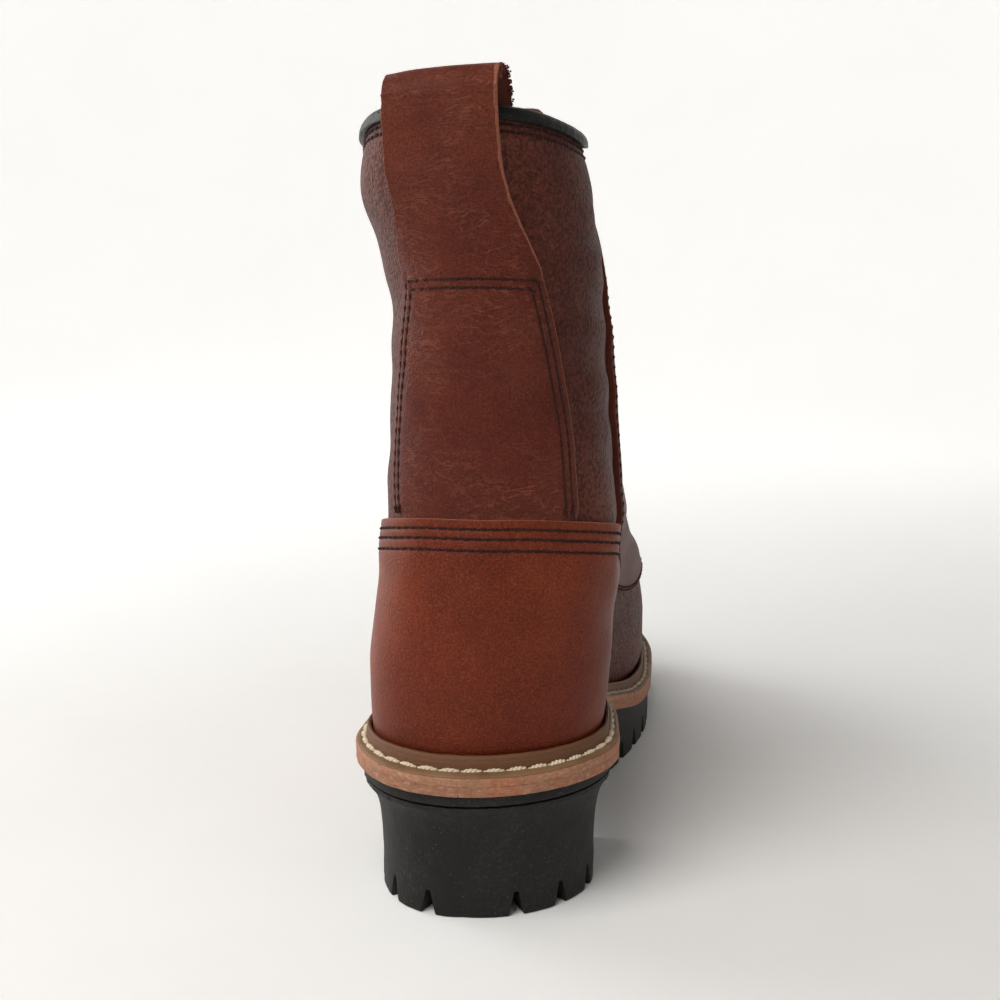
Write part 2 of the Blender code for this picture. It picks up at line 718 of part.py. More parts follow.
def make_strap():
    """The backstay: sewn up the shaft, then free, over the collar and down inside."""
    across = np.linspace(-1, 1, 7)
    middle = len(across) // 2
    top = ring_at_height(STRAP_SEWN_Z)
    rows = []
    for b in np.linspace(0, 1, 7):
        z = STRAP_FOOT_Z + (STRAP_SEWN_Z - STRAP_FOOT_Z) * b
        u = across * strap_share(ring_at_height(z), float(smooth(STRAP_HALF_WIDTHS, z)))
        foot = np.array([ring_on_line(value, BAND_LINE) for value in u]) + STRAP_CLEAR
        v = foot + (top - foot) * b
        rows.append(shell_offset(u, v, np.full_like(u, OVERLAY_GAP + STRAP)))
    start_y, start_z = rows[-1][middle][1:]
    for y, z, turned in strap_path(start_y, start_z):
        v = ring_at_height(min(z, RINGS[-1][1]))
        u = across * strap_share(v, float(smooth(STRAP_HALF_WIDTHS, STRAP_TOP_Z if turned else z)))
        base = shell_offset(u, np.full_like(u, v), np.full_like(u, OVERLAY_GAP + STRAP))
        rise = 1.0 if turned else min(1.0, (z - start_z) / (STRAP_TOP_Z - start_z))
        curl = (1 - 0.7 * rise) * (1 - turned) + STRAP_INNER_BOW * turned
        bow = base[:, 1] - base[middle, 1]
        tilt = STRAP_TILT * rise * (base[:, 0] - base[middle, 0])
        rows.append(np.column_stack([base[:, 0], y + bow * curl, z + tilt]))
    mesh = mesh_from(grid(np.array(rows)), "pull_strap", closed=False)
    return solidify(new_object("pull_strap", mesh, "smooth_leather"), STRAP)


def strap_share(v, half):
    """The share q at which the shell at ring v is half wide in x from its middle."""
    q = np.linspace(0, 0.5, 100)
    points = shell_point(q, np.full_like(q, v))
    return float(np.interp(half, points[:, 0] - points[0, 0], q))


def strap_path(start_y, start_z):
    """The free strap's outer face from the last seam: y, z and how far it has turned over the top."""
    centre_z = STRAP_TOP_Z - STRAP_FOLD_RADIUS - STRAP
    centre_y = STRAP_OUTER_Y + STRAP_FOLD_RADIUS
    radius = STRAP_FOLD_RADIUS
    path = []
    for share in (0.2, 0.4, 0.6, 0.8):
        ease = share * share * (3 - 2 * share)
        y = start_y + (STRAP_OUTER_Y - start_y) * ease
        path.append((y, start_z + (centre_z - start_z) * share, 0.0))
    for i in range(7):
        angle = math.pi * i / 6
        y = centre_y - radius * math.cos(angle)
        path.append((y, centre_z + radius * math.sin(angle), i / 6))
    inner_y = centre_y + radius
    for share in (0.35, 0.7, 1.0):
        path.append((inner_y + share, centre_z + (STRAP_INNER_Z - centre_z) * share, 1.0))
    return path


def make_collar():
    """The padded roll that binds the collar's edge, from one facing to the other."""
    count = 33
    edge = throat_share(np.array([COLLAR]))[0] - 0.01
    u = edge * np.linspace(-1, 1, count)
    top = shell_offset(u, np.full(count, COLLAR), np.full(count, -WALL / 2))
    out = shell_normal(u, np.full(count, COLLAR)).copy()
    out[:, 2] = 0
    out /= np.linalg.norm(out, axis=1, keepdims=True)
    section = (
        (-1.0, 0.0), (-1.0, 0.45), (-0.6, 0.85), (0.0, 1.0), (0.6, 0.85), (1.0, 0.45), (1.0, 0.0),
    )
    loops = []
    for point, away in zip(top, out):
        base = point + np.array([0.0, 0.0, GAP])
        loops.append([
            base + away * ROLL_HALF_WIDTH * across + np.array([0.0, 0.0, ROLL_HEIGHT * rise])
            for across, rise in section
        ])
    return new_object("collar_roll", mesh_from(loft(loops), "collar_roll"), "collar_leather")


def make_tongue():
    """The tongue under the facings, from inside the vamp to above the collar."""
    v = np.linspace(TONGUE_FOOT, COLLAR + TONGUE_RISE, 15)
    rows = []
    for value in v:
        inset = float(smooth(TONGUE_INSETS, value))
        spread = TONGUE_SPREAD * min(1.0, 0.45 + 0.2 * (value - TONGUE_FOOT))
        half = float(smooth(THROAT_HALF_WIDTHS, value)) + spread
        q = share_off_middle(min(value, COLLAR), half)
        reach = 1 - q
        u = np.concatenate([1 - reach * np.linspace(1, 0, 5)[:-1], -1 + reach * np.linspace(0, 1, 5)])
        rows.append(shell_offset(u, np.full_like(u, value), np.full_like(u, -inset)))
    mesh = mesh_from(grid(np.array(rows)), "tongue", closed=False)
    made = new_object("tongue", mesh, "shaft_leather")
    return solidify(made, TONGUE)


def eyelet_places():
    """Each eyelet's shell position, point and outward normal, as a medial and lateral pair a row."""
    places = []
    for v in np.linspace(EYELET_FIRST_RING, EYELET_LAST_RING, EYELET_PAIRS):
        q = float(share_off_middle(v, float(smooth(THROAT_HALF_WIDTHS, v)) + EYELET_INSET))
        pair = []
        for u in (q, -q):
            point = shell_offset(u, v, OVERLAY_GAP + OVERLAY)
            pair.append((u, float(v), point, shell_normal(u, v)))
        places.append(pair)
    return places


def turned_to(normal, point):
    """The matrix that stands +Z along normal at point."""
    turn = Vector(normal).to_track_quat("Z", "Y").to_matrix().to_4x4()
    return Matrix.Translation(Vector(point)) @ turn


def make_eyelets(places, panels):
    """Drills the facings and seats a flanged metal eyelet in each hole."""
    bm = bmesh.new()
    for pair in places:
        for _, _, point, normal in pair:
            place = turned_to(normal, point)
            bmesh.ops.create_cone(
                bm, cap_ends=True, segments=6, radius1=DRILL_RADIUS, radius2=DRILL_RADIUS,
                depth=16.0, matrix=place,
            )
    drills = as_cutter(new_object("eyelet_drills", mesh_from(bm, "eyelet_drills"), None, "cutters"))
    for panel in panels:
        cut(panel, drills)
    depth = OVERLAY + OVERLAY_GAP + WALL
    profile = (
        (EYELET_BORE, -depth),
        (EYELET_BORE, EYELET_LIFT + EYELET_RIM),
        (EYELET_FLANGE - 0.6, EYELET_LIFT + EYELET_RIM),
        (EYELET_FLANGE, EYELET_LIFT),
        (EYELET_BARREL, EYELET_LIFT),
        (EYELET_BARREL, -depth),
    )
    mesh = turned_mesh("eyelet", profile, 8)
    mesh.materials.append(bpy.data.materials["eyelet_metal"])
    for row, pair in enumerate(places):
        for label, (_, _, point, normal) in zip(("medial", "lateral"), pair):
            made = bpy.data.objects.new(f"eyelet_{label}_{row + 1}", mesh)
            made.matrix_world = turned_to(normal, point * MM)
            bpy.data.collections["logger_boot"].objects.link(made)


def turned_mesh(name, profile, steps):
    """A mesh turned about Z from a closed profile of (radius, height)."""
    bm = bmesh.new()
    verts = [bm.verts.new((radius, 0.0, z)) for radius, z in profile]
    edges = [bm.edges.new((a, b)) for a, b in zip(verts, verts[1:] + verts[:1])]
    bmesh.ops.spin(
        bm, geom=verts + edges, axis=(0, 0, 1), cent=(0, 0, 0), angle=2 * math.pi,
        steps=steps, use_merge=True,
    )
    bmesh.ops.remove_doubles(bm, verts=bm.verts, dist=1e-3)
    return mesh_from(bm, name)


def cord(name, points):
    """A lace's stretch through points, as a closed mesh."""
    data = bpy.data.curves.new(name, "CURVE")
    data.dimensions = "3D"
    data.bevel_depth = LACE_RADIUS * MM
    data.bevel_resolution = 1
    data.use_fill_caps = True
    spline = data.splines.new("POLY")
    spline.points.add(len(points) - 1)
    for target, point in zip(spline.points, points):
        target.co = (*(np.array(point) * MM), 1.0)
    curve = bpy.data.objects.new(name, data)
    bpy.context.scene.collection.objects.link(curve)
    graph = bpy.context.evaluated_depsgraph_get()
    mesh = bpy.data.meshes.new_from_object(curve.evaluated_get(graph))
    bpy.data.objects.remove(curve)
    bm = bmesh.new()
    bm.from_mesh(mesh)
    bmesh.ops.remove_doubles(bm, verts=bm.verts, dist=1e-6)
    bmesh.ops.recalc_face_normals(bm, faces=bm.faces)
    bm.to_mesh(mesh)
    bm.free()
    mesh.name = name
    return mesh


def lace_run(start, end):
    """Points of a lace from one eyelet's mouth to another's, over the facings and the tongue."""
    (u_start, v_start), (u_end, v_end) = start, end
    share = np.linspace(0, 1, len(LACE_LIFTS))
    u = (u_start + ((u_end - u_start) % 2 - 2 * (u_start < 0)) * share + 1) % 2 - 1
    v = v_start + (v_end - v_start) * share
    lift = OVERLAY_GAP + OVERLAY + EYELET_LIFT + EYELET_RIM + LACE_RADIUS
    return shell_offset(u, v, lift + np.array(LACE_LIFTS))


def make_laces(places):
    """The bottom bar and the crossings above it, each crossing two runs joined where they meet."""
    ends = [[(u, v) for u, v, _, _ in pair] for pair in places]
    bar = lace_run(*((u, v - LACE_STEP) for u, v in ends[0]))
    new_object("lace_bar", cord("lace_bar", bar), "lace")
    for row, (low, high) in enumerate(zip(ends, ends[1:])):
        runs = []
        for near, far in ((0, 1), (1, 0)):
            start = (low[near][0], low[near][1] + LACE_STEP)
            end = (high[far][0], high[far][1] - LACE_STEP)
            runs.append(cord(f"lace_run_{row + 1}", lace_run(start, end)))
        crossing = new_object(f"lace_crossing_{row + 1}", runs[0], "lace")
        under = as_cutter(new_object(f"lace_under_{row + 1}", runs[1], None, "cutters"))
        modifier = crossing.modifiers.new("joined", "BOOLEAN")
        modifier.operation = "UNION"
        modifier.object = under


def clear_scene():
    """Removes whatever the scene holds, and makes the collections and materials."""
    for item in list(bpy.data.objects):
        bpy.data.objects.remove(item)
    for name in ("logger_boot", "cutters"):
        bpy.context.scene.collection.children.link(bpy.data.collections.new(name))
    for name, (colour, roughness, metallic) in COLOURS.items():
        material = bpy.data.materials.new(name)
        material.use_nodes = True
        shader = material.node_tree.nodes["Principled BSDF"]
        shader.inputs["Base Color"].default_value = (*colour, 1.0)
        shader.inputs["Roughness"].default_value = roughness
        shader.inputs["Metallic"].default_value = metallic


def main():
    """Builds the boot."""
    clear_scene()
    make_outsole()
    make_heel()
    make_midsole()
    make_insole()
    make_welt()
    upper = make_upper()
    make_counter()
    quarters = [make_quarter("quarter_medial", 1), make_quarter("quarter_lateral", -1)]
    make_strap()
    make_collar()
    make_tongue()
    places = eyelet_places()
    make_eyelets(places, [upper, *quarters])
    make_laces(places)


main()
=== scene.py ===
"""The looks of a left logger boot: its leather, seams, welt, rubber, eyelets and lace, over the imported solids.

Sizes and tables are in millimetres, in the boot's own frame: +Y to the toe, +X to the medial side and +Z
up, from the floor under the middle of the heel. MM turns them into Blender's metres.
"""

import logging
import math
from collections.abc import Callable, Mapping, Sequence
from dataclasses import dataclass, field
from enum import Enum
from typing import Any

import bmesh
import bpy
import numpy as np
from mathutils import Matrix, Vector

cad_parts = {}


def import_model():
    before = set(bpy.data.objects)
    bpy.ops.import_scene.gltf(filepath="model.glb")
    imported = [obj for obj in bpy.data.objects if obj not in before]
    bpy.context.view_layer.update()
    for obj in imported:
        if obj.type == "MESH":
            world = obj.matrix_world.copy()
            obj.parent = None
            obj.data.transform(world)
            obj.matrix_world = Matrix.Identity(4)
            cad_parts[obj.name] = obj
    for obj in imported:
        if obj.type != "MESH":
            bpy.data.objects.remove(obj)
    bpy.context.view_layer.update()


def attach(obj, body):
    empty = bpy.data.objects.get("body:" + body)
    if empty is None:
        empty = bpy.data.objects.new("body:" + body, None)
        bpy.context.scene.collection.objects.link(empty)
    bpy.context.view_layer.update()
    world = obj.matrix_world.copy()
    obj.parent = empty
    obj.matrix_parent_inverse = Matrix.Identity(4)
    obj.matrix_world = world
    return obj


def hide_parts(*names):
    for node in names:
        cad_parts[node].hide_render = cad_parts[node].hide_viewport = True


LOG = logging.getLogger("logger_boot")
MM = 0.001
BODY = "root"

Array = np.ndarray
Colour = tuple[float, float, float]
Table = Sequence[Sequence[float]]


def colour(red: int, green: int, blue: int) -> Colour:
    """The linear colour of a screen colour given as three numbers up to 255."""

    def linear(level: int) -> float:
        share = level / 255
        return share / 12.92 if share <= 0.04045 else ((share + 0.055) / 1.055) ** 2.4

    return linear(red), linear(green), linear(blue)


def knot_slopes(rise: Array) -> Array:
    """The slopes at a curve's knots, from the slopes between them, so that it never overshoots."""
    before, after = rise[:-1], rise[1:]
    same_way = before * after > 0
    inner = np.where(same_way, 2 * before * after / np.where(same_way, before + after, 1), 0)
    return np.concatenate([rise[:1], inner, rise[-1:]])


def cubic(t: Array, values: tuple[Array, Array], rises: tuple[Array, Array]) -> Array:
    """The cubic between two values at share t, that leaves and arrives with these rises."""
    (low, high), (leaving, arriving) = values, rises
    return (
        low * (1 + 2 * t) * (1 - t) ** 2 + high * (3 - 2 * t) * t**2
        + leaving * t * (1 - t) ** 2 - arriving * t**2 * (1 - t)
    )


def through(knots: Sequence[float], values: Sequence, x: Array | float) -> Array:
    """A smooth curve that never passes its neighbouring values.

    Args:
        knots: Rising places of the values.
        values: The curve's values there, each a number or as many as x has.
        x: Where the curve is wanted.

    Returns:
        The curve at x, held flat past its ends.
    """
    knots, x = np.array(knots, float), np.asarray(x, float)
    values = np.array(values, float)
    steps = np.diff(knots)
    slopes = knot_slopes(np.diff(values, axis=0) / steps.reshape((-1,) + (1,) * (values.ndim - 1)))
    result = values[0] + 0 * x
    for i, step in enumerate(steps):
        t = np.clip((x - knots[i]) / step, 0, 1)
        piece = cubic(t, values[i:i + 2], slopes[i:i + 2] * step)
        result = np.where(x >= knots[i], piece, result)
    return result


def smooth(table: Table, x: Array | float) -> Array:
    """The smooth curve through a table of (x, value) rows, at x."""
    knots, values = zip(*table)
    return through(knots, values, x)


def unit(vectors: Array) -> Array:
    """The vectors at unit length."""
    return vectors / np.maximum(np.linalg.norm(vectors, axis=-1, keepdims=True), 1e-12)


def ripple(points: Array, length: float, seed: int, waves: int = 9) -> Array:
    """A soft irregular height, made of waves in seeded directions.

    Args:
        points: Places in millimetres.
        length: The usual length of a wave.
        seed: Which of the irregular surfaces this is.
        waves: How many waves are summed.

    Returns:
        Heights of about -1 to 1, one for each point.
    """
    dice = np.random.default_rng(seed)
    headings = unit(dice.normal(size=(waves, 3))) * dice.uniform(0.6, 1.6, (waves, 1))
    phases = dice.uniform(0, 2 * math.pi, waves)
    return np.sin(points @ headings.T * 2 * math.pi / length + phases).sum(axis=-1) / waves**0.5 / 1.2


class RingColumn(Enum):
    """What each column of the last's ring table holds."""

    BACK_Y = 0
    BACK_Z = 1
    FRONT_Y = 2
    FRONT_Z = 3
    HEEL = 4
    WAIST = 5
    BALL = 6
    TOE = 7
    BACK_CAP = 8
    FRONT_CAP = 9
    LEAN = 10
    DIP = 11
    FOLLOW = 12


@dataclass(frozen=True)
class Fold:
    """A soft crease of the leather.

    The line runs through three points near the leather, and it is a trough with two low shoulders.
    """

    start: tuple[float, float, float]
    middle: tuple[float, float, float]
    end: tuple[float, float, float]
    width: float
    depth: float


FOLDS = (
    # Across the shaft's medial side, behind the ankle and under the collar
    Fold((22, -24, 216), (37, 6, 211), (33, 44, 219), 5.0, 0.9),
    Fold((26, -22, 203), (38, 8, 199), (35, 40, 203), 3.4, 0.55),
    Fold((28, -21, 192), (38, 10, 190), (35, 44, 186), 4.4, 0.8),
    Fold((30, -18, 168), (39, 12, 171), (37, 46, 164), 6.0, 0.8),
    Fold((30, -19, 153), (40, 10, 156), (38, 44, 148), 4.5, 0.7),
    Fold((29, -20, 141), (41, 12, 139), (39, 36, 130), 3.6, 0.45),
    # Across the shaft's lateral side
    Fold((-33, -20, 214), (-38, 8, 208), (-36, 46, 214), 6.5, 0.5),
    Fold((-32, -20, 189), (-36, 10, 184), (-34, 44, 190), 6.5, 0.55),
    Fold((-31, -20, 165), (-36, 10, 168), (-34, 46, 160), 6.0, 0.4),
    Fold((-31, -20, 146), (-35, 10, 141), (-34, 40, 134), 5.4, 0.4),
    # Over the backstay
    Fold((-28, -27, 178), (-14, -29, 169), (2, -29, 167), 6.0, 0.55),
    Fold((-22, -28, 164), (4, -29, 158), (26, -24, 162), 6.5, 0.5),
    Fold((-4, -29, 149), (12, -28, 151), (28, -22, 147), 4.2, 0.42),
    Fold((-24, -28, 187), (-8, -29, 190), (14, -28, 186), 4.6, 0.3),
    # The vamp's flex, across the ball
    Fold((40, 170, 62), (2, 168, 84), (-44, 160, 60), 6.0, 1.0),
    Fold((44, 182, 52), (0, 186, 76), (-48, 172, 54), 5.0, 0.8),
    Fold((44, 158, 56), (30, 150, 76), (16, 148, 86), 4.5, 0.6),
    Fold((-44, 148, 56), (-30, 144, 76), (-18, 144, 86), 4.5, 0.6),
    # The instep's flex, in front of the ankle
    Fold((36, 92, 128), (36, 66, 126), (36, 44, 118), 5.0, 0.8),
    Fold((-36, 92, 128), (-36, 66, 126), (-36, 44, 118), 5.0, 0.8),
    Fold((34, 98, 104), (36, 76, 104), (36, 56, 100), 4.6, 0.6),
    Fold((-34, 98, 104), (-36, 76, 104), (-36, 56, 100), 4.6, 0.6),
)


@dataclass
class Last:
    """The surface that all the boot's leather lies on, and the outline of its sole."""

    sole_ends: tuple[float, float] = (-44.0, 264.0)
    sole_caps: tuple[float, float] = (44.0, 66.0)
    sole_half_widths: tuple[float, ...] = (41.3, 37.0, 53.6, 50.0)
    stations: tuple[float, ...] = (0.13, 0.38, 0.68, 0.90)
    swing: Table = ((-44, 0), (20, 0), (75, -3), (150, -3.4), (210, -0.5), (264, 4.5))
    back_skew: float = -4.5
    back_skew_length: float = 50.0
    seat: Table = (
        (-44, 43.2), (0, 43.0), (28, 42.3), (60, 37.0), (100, 25.6),
        (140, 17.2), (175, 15.8), (215, 18.2), (264, 26.0),
    )
    tread: Table = (
        (-44, 40.2), (48, 39.4), (56, 35.8), (68, 29.5), (82, 21.5), (92, 10.5),
        (99, 2.0), (105, 0.0), (192, 0.0), (228, 2.6), (264, 10.0),
    )
    rings: Table = (
        (-30.5, 46.9, 252.0, 27.8, 34.0, 29.5, 45.5, 41.0, 33.0, 56.0, 0.0, 0.0, 1.00),
        (-32.8, 60.0, 256.0, 40.0, 35.3, 33.0, 51.2, 46.0, 35.0, 60.0, 0.4, 0.0, 1.00),
        (-34.2, 76.0, 253.0, 53.5, 36.0, 34.6, 50.8, 45.5, 36.0, 66.0, 0.9, 0.0, 0.80),
        (-33.6, 95.0, 239.0, 65.0, 35.4, 35.4, 47.5, 42.5, 36.0, 78.0, 2.4, 0.0, 0.55),
        (-31.8, 112.0, 212.0, 74.0, 35.8, 36.0, 43.5, 39.0, 37.0, 88.0, 3.6, 0.0, 0.30),
        (-30.0, 126.0, 180.0, 83.0, 36.4, 36.8, 40.5, 36.0, 38.0, 88.0, 3.8, 0.0, 0.12),
        (-28.8, 143.0, 150.0, 98.0, 35.8, 36.6, 37.6, 35.0, 40.0, 80.0, 3.0, 0.0, 0.00),
        (-28.5, 160.0, 121.0, 121.0, 34.4, 35.4, 36.2, 35.0, 42.0, 68.0, 2.6, 0.0, 0.00),
        (-28.9, 178.0, 98.0, 149.0, 34.0, 34.6, 35.0, 34.6, 46.0, 60.0, 2.0, 0.0, 0.00),
        (-29.6, 196.0, 84.0, 179.0, 33.6, 34.0, 34.2, 34.2, 50.0, 56.0, 1.2, 1.0, 0.00),
        (-30.4, 213.0, 77.5, 206.0, 35.4, 35.8, 35.8, 35.6, 52.0, 54.0, -1.9, 3.0, 0.00),
        (-31.2, 229.0, 76.0, 227.0, 36.6, 36.8, 36.8, 36.4, 53.0, 54.0, -5.4, 5.0, 0.00),
        (-31.6, 243.0, 78.0, 243.0, 33.8, 34.2, 34.2, 34.0, 53.0, 56.0, -6.3, 5.4, 0.00),
    )
    welt_spread: Table = (
        (-44, 0.0), (-28, 0.5), (0, 1.9), (50, 2.6), (100, 1.8), (135, 2.8), (190, 2.6), (228, 1.0), (264, 0.0),
    )
    rubber_spread: Table = ((88, 0.0), (130, 2.2), (190, 2.0), (228, 0.6), (264, 0.0))
    sole_shares: tuple[float, float] = (0.25, 0.62)
    collar_shares: tuple[float, float] = (0.42, 0.53)
    midsole: float = 3.2
    gap: float = 0.3
    throat_foot: float = 6.0
    throat_half_widths: Table = ((6.0, 6.5), (6.6, 9.5), (8.0, 11.5), (12.0, 15.5))
    ridges: list[tuple[Array, Array, Fold]] = field(default_factory=list)
    cubics: Array = field(init=False)

    def __post_init__(self) -> None:
        """Works out the ring table's cubics, and lays each fold's line on the surface."""
        rows = np.array(self.rings)
        rise = np.diff(rows, axis=0)
        slopes = knot_slopes(rise)
        low, high = slopes[:-1], slopes[1:]
        self.cubics = np.array([low + high - 2 * rise, 3 * rise - 2 * low - high, low, rows[:-1]])
        for fold in FOLDS:
            corners = np.array([self.locate(place) for place in (fold.start, fold.middle, fold.end)])
            share = np.linspace(0, 1, 15)[:, None]
            through_middle = 2 * corners[1] - (corners[0] + corners[2]) / 2
            line = (
                corners[0] * (1 - share) ** 2
                + through_middle * 2 * share * (1 - share)
                + corners[2] * share**2
            )
            self.ridges.append((self.point(line[:, 0], line[:, 1]), share[:, 0], fold))

    @property
    def collar(self) -> float:
        """The last ring's number."""
        return len(self.rings) - 1.0

    def column(self, name: RingColumn, v: Array | float) -> Array:
        """One column of the ring table, at ring number v."""
        v = np.clip(v, 0, self.collar)
        row = np.minimum(v.astype(int), len(self.rings) - 2)
        a, b, c, d = self.cubics[:, row, name.value]
        t = v - row
        return ((a * t + b) * t + c) * t + d

    def cap_shares(self, v: Array | float) -> tuple[Array, Array]:
        """Where the two rounded ends of ring v stop and start, as shares of its half circuit."""
        rise = np.clip(np.asarray(v, float) / self.collar, 0, 1)
        (low_a, low_b), (high_a, high_b) = self.sole_shares, self.collar_shares
        return low_a + (high_a - low_a) * rise, low_b + (high_b - low_b) * rise

    def half_ring(
        self, q: Array, shares: tuple, ends: tuple, caps: tuple, half_widths: Sequence
    ) -> tuple[Array, Array]:
        """Half of a ring, from its back to its front.

        Args:
            q: Share of the way round.
            shares: Where the back's rounded end stops and the front's starts.
            ends: The ring's rear and front y.
            caps: The lengths of the two rounded ends.
            half_widths: Half widths at the stations.

        Returns:
            The distance along from the rear end, and the half width there.
        """
        length = ends[1] - ends[0]
        back_angle = np.clip(q / shares[0], 0, 1) * math.pi / 2
        front_angle = np.clip((1 - q) / (1 - shares[1]), 0, 1) * math.pi / 2
        middle = np.clip((q - shares[0]) / (shares[1] - shares[0]), 0, 1)
        along = caps[0] * (1 - np.cos(back_angle)) + (length - caps[0] - caps[1]) * middle
        along = along + caps[1] * np.cos(front_angle)
        share = along / length
        if np.ndim(half_widths) > 1:
            half_widths = np.broadcast_arrays(*half_widths, share)[:-1]
        width = through(self.stations, half_widths, share)
        return along, width * np.sin(back_angle) * np.sin(front_angle)

    def skew(self, along: Array) -> Array:
        """Sideways shift of an outline this far along from its rear end."""
        return self.back_skew * np.clip(1 - along / self.back_skew_length, 0, 1) ** 2

    def layer_top(self, y: Array | float, above: float = 0.0) -> Array:
        """Height of the leather midsole's top at y, and so much above it."""
        return smooth(self.seat, y) + self.gap + self.midsole + above

    def point(self, u: Array | float, v: Array | float) -> Array:
        """A point of the upper's outer face.

        Args:
            u: 0 at the back, 1 at the front by the medial side, -1 by the lateral side.
            v: Ring number, from 0 at the feather edge to the collar.

        Returns:
            The point, in millimetres.
        """
        u, v = np.broadcast_arrays(np.asarray(u, float), np.asarray(v, float))
        ring = {name: self.column(name, v) for name in RingColumn}
        ends = ring[RingColumn.BACK_Y], ring[RingColumn.FRONT_Y]
        caps = ring[RingColumn.BACK_CAP], ring[RingColumn.FRONT_CAP]
        widths = [ring[name] for name in (RingColumn.HEEL, RingColumn.WAIST, RingColumn.BALL, RingColumn.TOE)]
        along, width = self.half_ring(np.abs(u), self.cap_shares(v), ends, caps, widths)
        share = along / (ends[1] - ends[0])
        y = ends[0] + along
        back_y, back_z, front_y, front_z = self.rings[0][:4]
        low_y = back_y + share * (front_y - back_y)
        sole_curve = self.layer_top(low_y, 2.4 * self.gap) - back_z * (1 - share) - front_z * share
        z = ring[RingColumn.BACK_Z] * (1 - share) + ring[RingColumn.FRONT_Z] * share
        z = z + ring[RingColumn.FOLLOW] * sole_curve
        z = z - ring[RingColumn.DIP] * np.sin(math.pi * share) ** 2
        z = z + np.maximum(v - self.collar, 0) * (self.rings[-1][1] - self.rings[-2][1])
        low = np.clip(1 - v / self.collar, 0, 1)
        x = np.sign(u) * width + low * smooth(self.swing, y) + self.skew(along) + ring[RingColumn.LEAN]
        return np.stack([x, y, z], axis=-1)

    def normal(self, u: Array | float, v: Array | float) -> Array:
        """The outward unit normal of the upper's outer face."""
        step = 1e-3
        along_u = self.point(u + step, v) - self.point(u - step, v)
        along_v = self.point(u, v + step) - self.point(u, v - step)
        return unit(np.cross(along_u, along_v))

    def relief(self, points: Array) -> Array:
        """How far the folds and the leather's unevenness lift the surface at the points."""
        flat = points.reshape(-1, 3)
        total = 0.12 * ripple(flat, 34.0, 5) + 0.07 * ripple(flat, 15.0, 6)
        for line, share, fold in self.ridges:
            reach = fold.width * 3.2
            near = np.all((flat > line.min(0) - reach) & (flat < line.max(0) + reach), axis=1)
            if near.any():
                total[near] += self.fold_rise(flat[near], line, share, fold)
        return total.reshape(points.shape[:-1])

    @staticmethod
    def fold_rise(places: Array, line: Array, share: Array, fold: Fold) -> Array:
        """The height of one fold at the places, fading out to its ends."""
        best = np.full(len(places), 1e9)
        at = np.zeros(len(places))
        for a, b, s, t in zip(line, line[1:], share, share[1:]):
            along = np.clip((places - a) @ (b - a) / max((b - a) @ (b - a), 1e-9), 0, 1)
            away = np.linalg.norm(places - a - along[:, None] * (b - a), axis=1)
            closer = away < best
            best = np.where(closer, away, best)
            at = np.where(closer, s + (t - s) * along, at)
        fade = np.sin(math.pi * np.clip(at, 0, 1)) ** 0.7
        trough = np.exp(-((best / fold.width) ** 2))
        shoulder = np.exp(-(((best - 1.75 * fold.width) / (0.85 * fold.width)) ** 2))
        return fold.depth * fade * (0.45 * shoulder - trough)

    def lifted(self, u: Array, v: Array, lift: Array | float) -> Array:
        """The surface's points moved outwards by lift, with the folds."""
        base = self.point(u, v)
        rise = self.relief(base) + np.asarray(lift)
        return base + rise[..., None] * self.normal(u, v)

    def locate(self, place: Sequence[float]) -> Array:
        """The surface's (u, v) nearest to a place in millimetres."""
        if not hasattr(self, "samples"):
            u, v = np.meshgrid(np.linspace(-0.999, 0.999, 161), np.linspace(0.05, 11.95, 120))
            self.samples = np.stack([u, v], axis=-1).reshape(-1, 2), self.point(u, v).reshape(-1, 3)
        at, points = self.samples
        best = at[np.argmin(((points - np.array(place)) ** 2).sum(axis=1))].copy()
        for _ in range(3):
            step = 1e-3
            u, v = best
            slopes = np.stack([
                (self.point(u + step, v) - self.point(u - step, v)) / (2 * step),
                (self.point(u, v + step) - self.point(u, v - step)) / (2 * step),
            ], axis=1)
            best += np.linalg.lstsq(slopes, np.array(place) - self.point(u, v), rcond=None)[0]
            best = np.clip(best, (-0.999, 0.0), (0.999, self.collar))
        return best

    def share_off_middle(self, v: Array | float, half_width: Array | float) -> Array:
        """The share round ring v at which the front's rounded end is this far from the middle line."""
        angle = np.arcsin(np.clip(half_width / self.column(RingColumn.TOE, v), 0, 1))
        return 1 - (1 - self.cap_shares(v)[1]) * angle / (math.pi / 2)

    def throat_share(self, v: Array | float) -> Array:
        """The share at which the facing's edge lies, carried straight on below the throat."""
        half = smooth(self.throat_half_widths, v)
        return self.share_off_middle(np.maximum(v, self.throat_foot), half)

    def ring_at_height(self, z: Array | float) -> Array:
        """The number of the ring whose back stands at height z."""
        v = np.linspace(0, self.collar, 400)
        return np.interp(z, self.point(0.0, v)[:, 2], v)

    def shares_in(self, v: Array, sought: Array, axis: int, most: float = 1.0) -> Array:
        """The share round each ring v at which its side has moved by the sought amount along an axis.

        Args:
            v: Ring numbers.
            sought: The wanted x (axis 0) from the ring's middle, or y (axis 1), one for each ring.
            axis: Which coordinate is wanted.
            most: The largest share to look at.

        Returns:
            The shares.
        """
        q = np.linspace(0, most, 160)
        reached = self.point(q[None, :], np.asarray(v)[:, None])[..., axis]
        if axis == 0:
            reached = reached - reached[:, :1]
        return np.array([np.interp(value, row, q) for value, row in zip(sought, reached)])

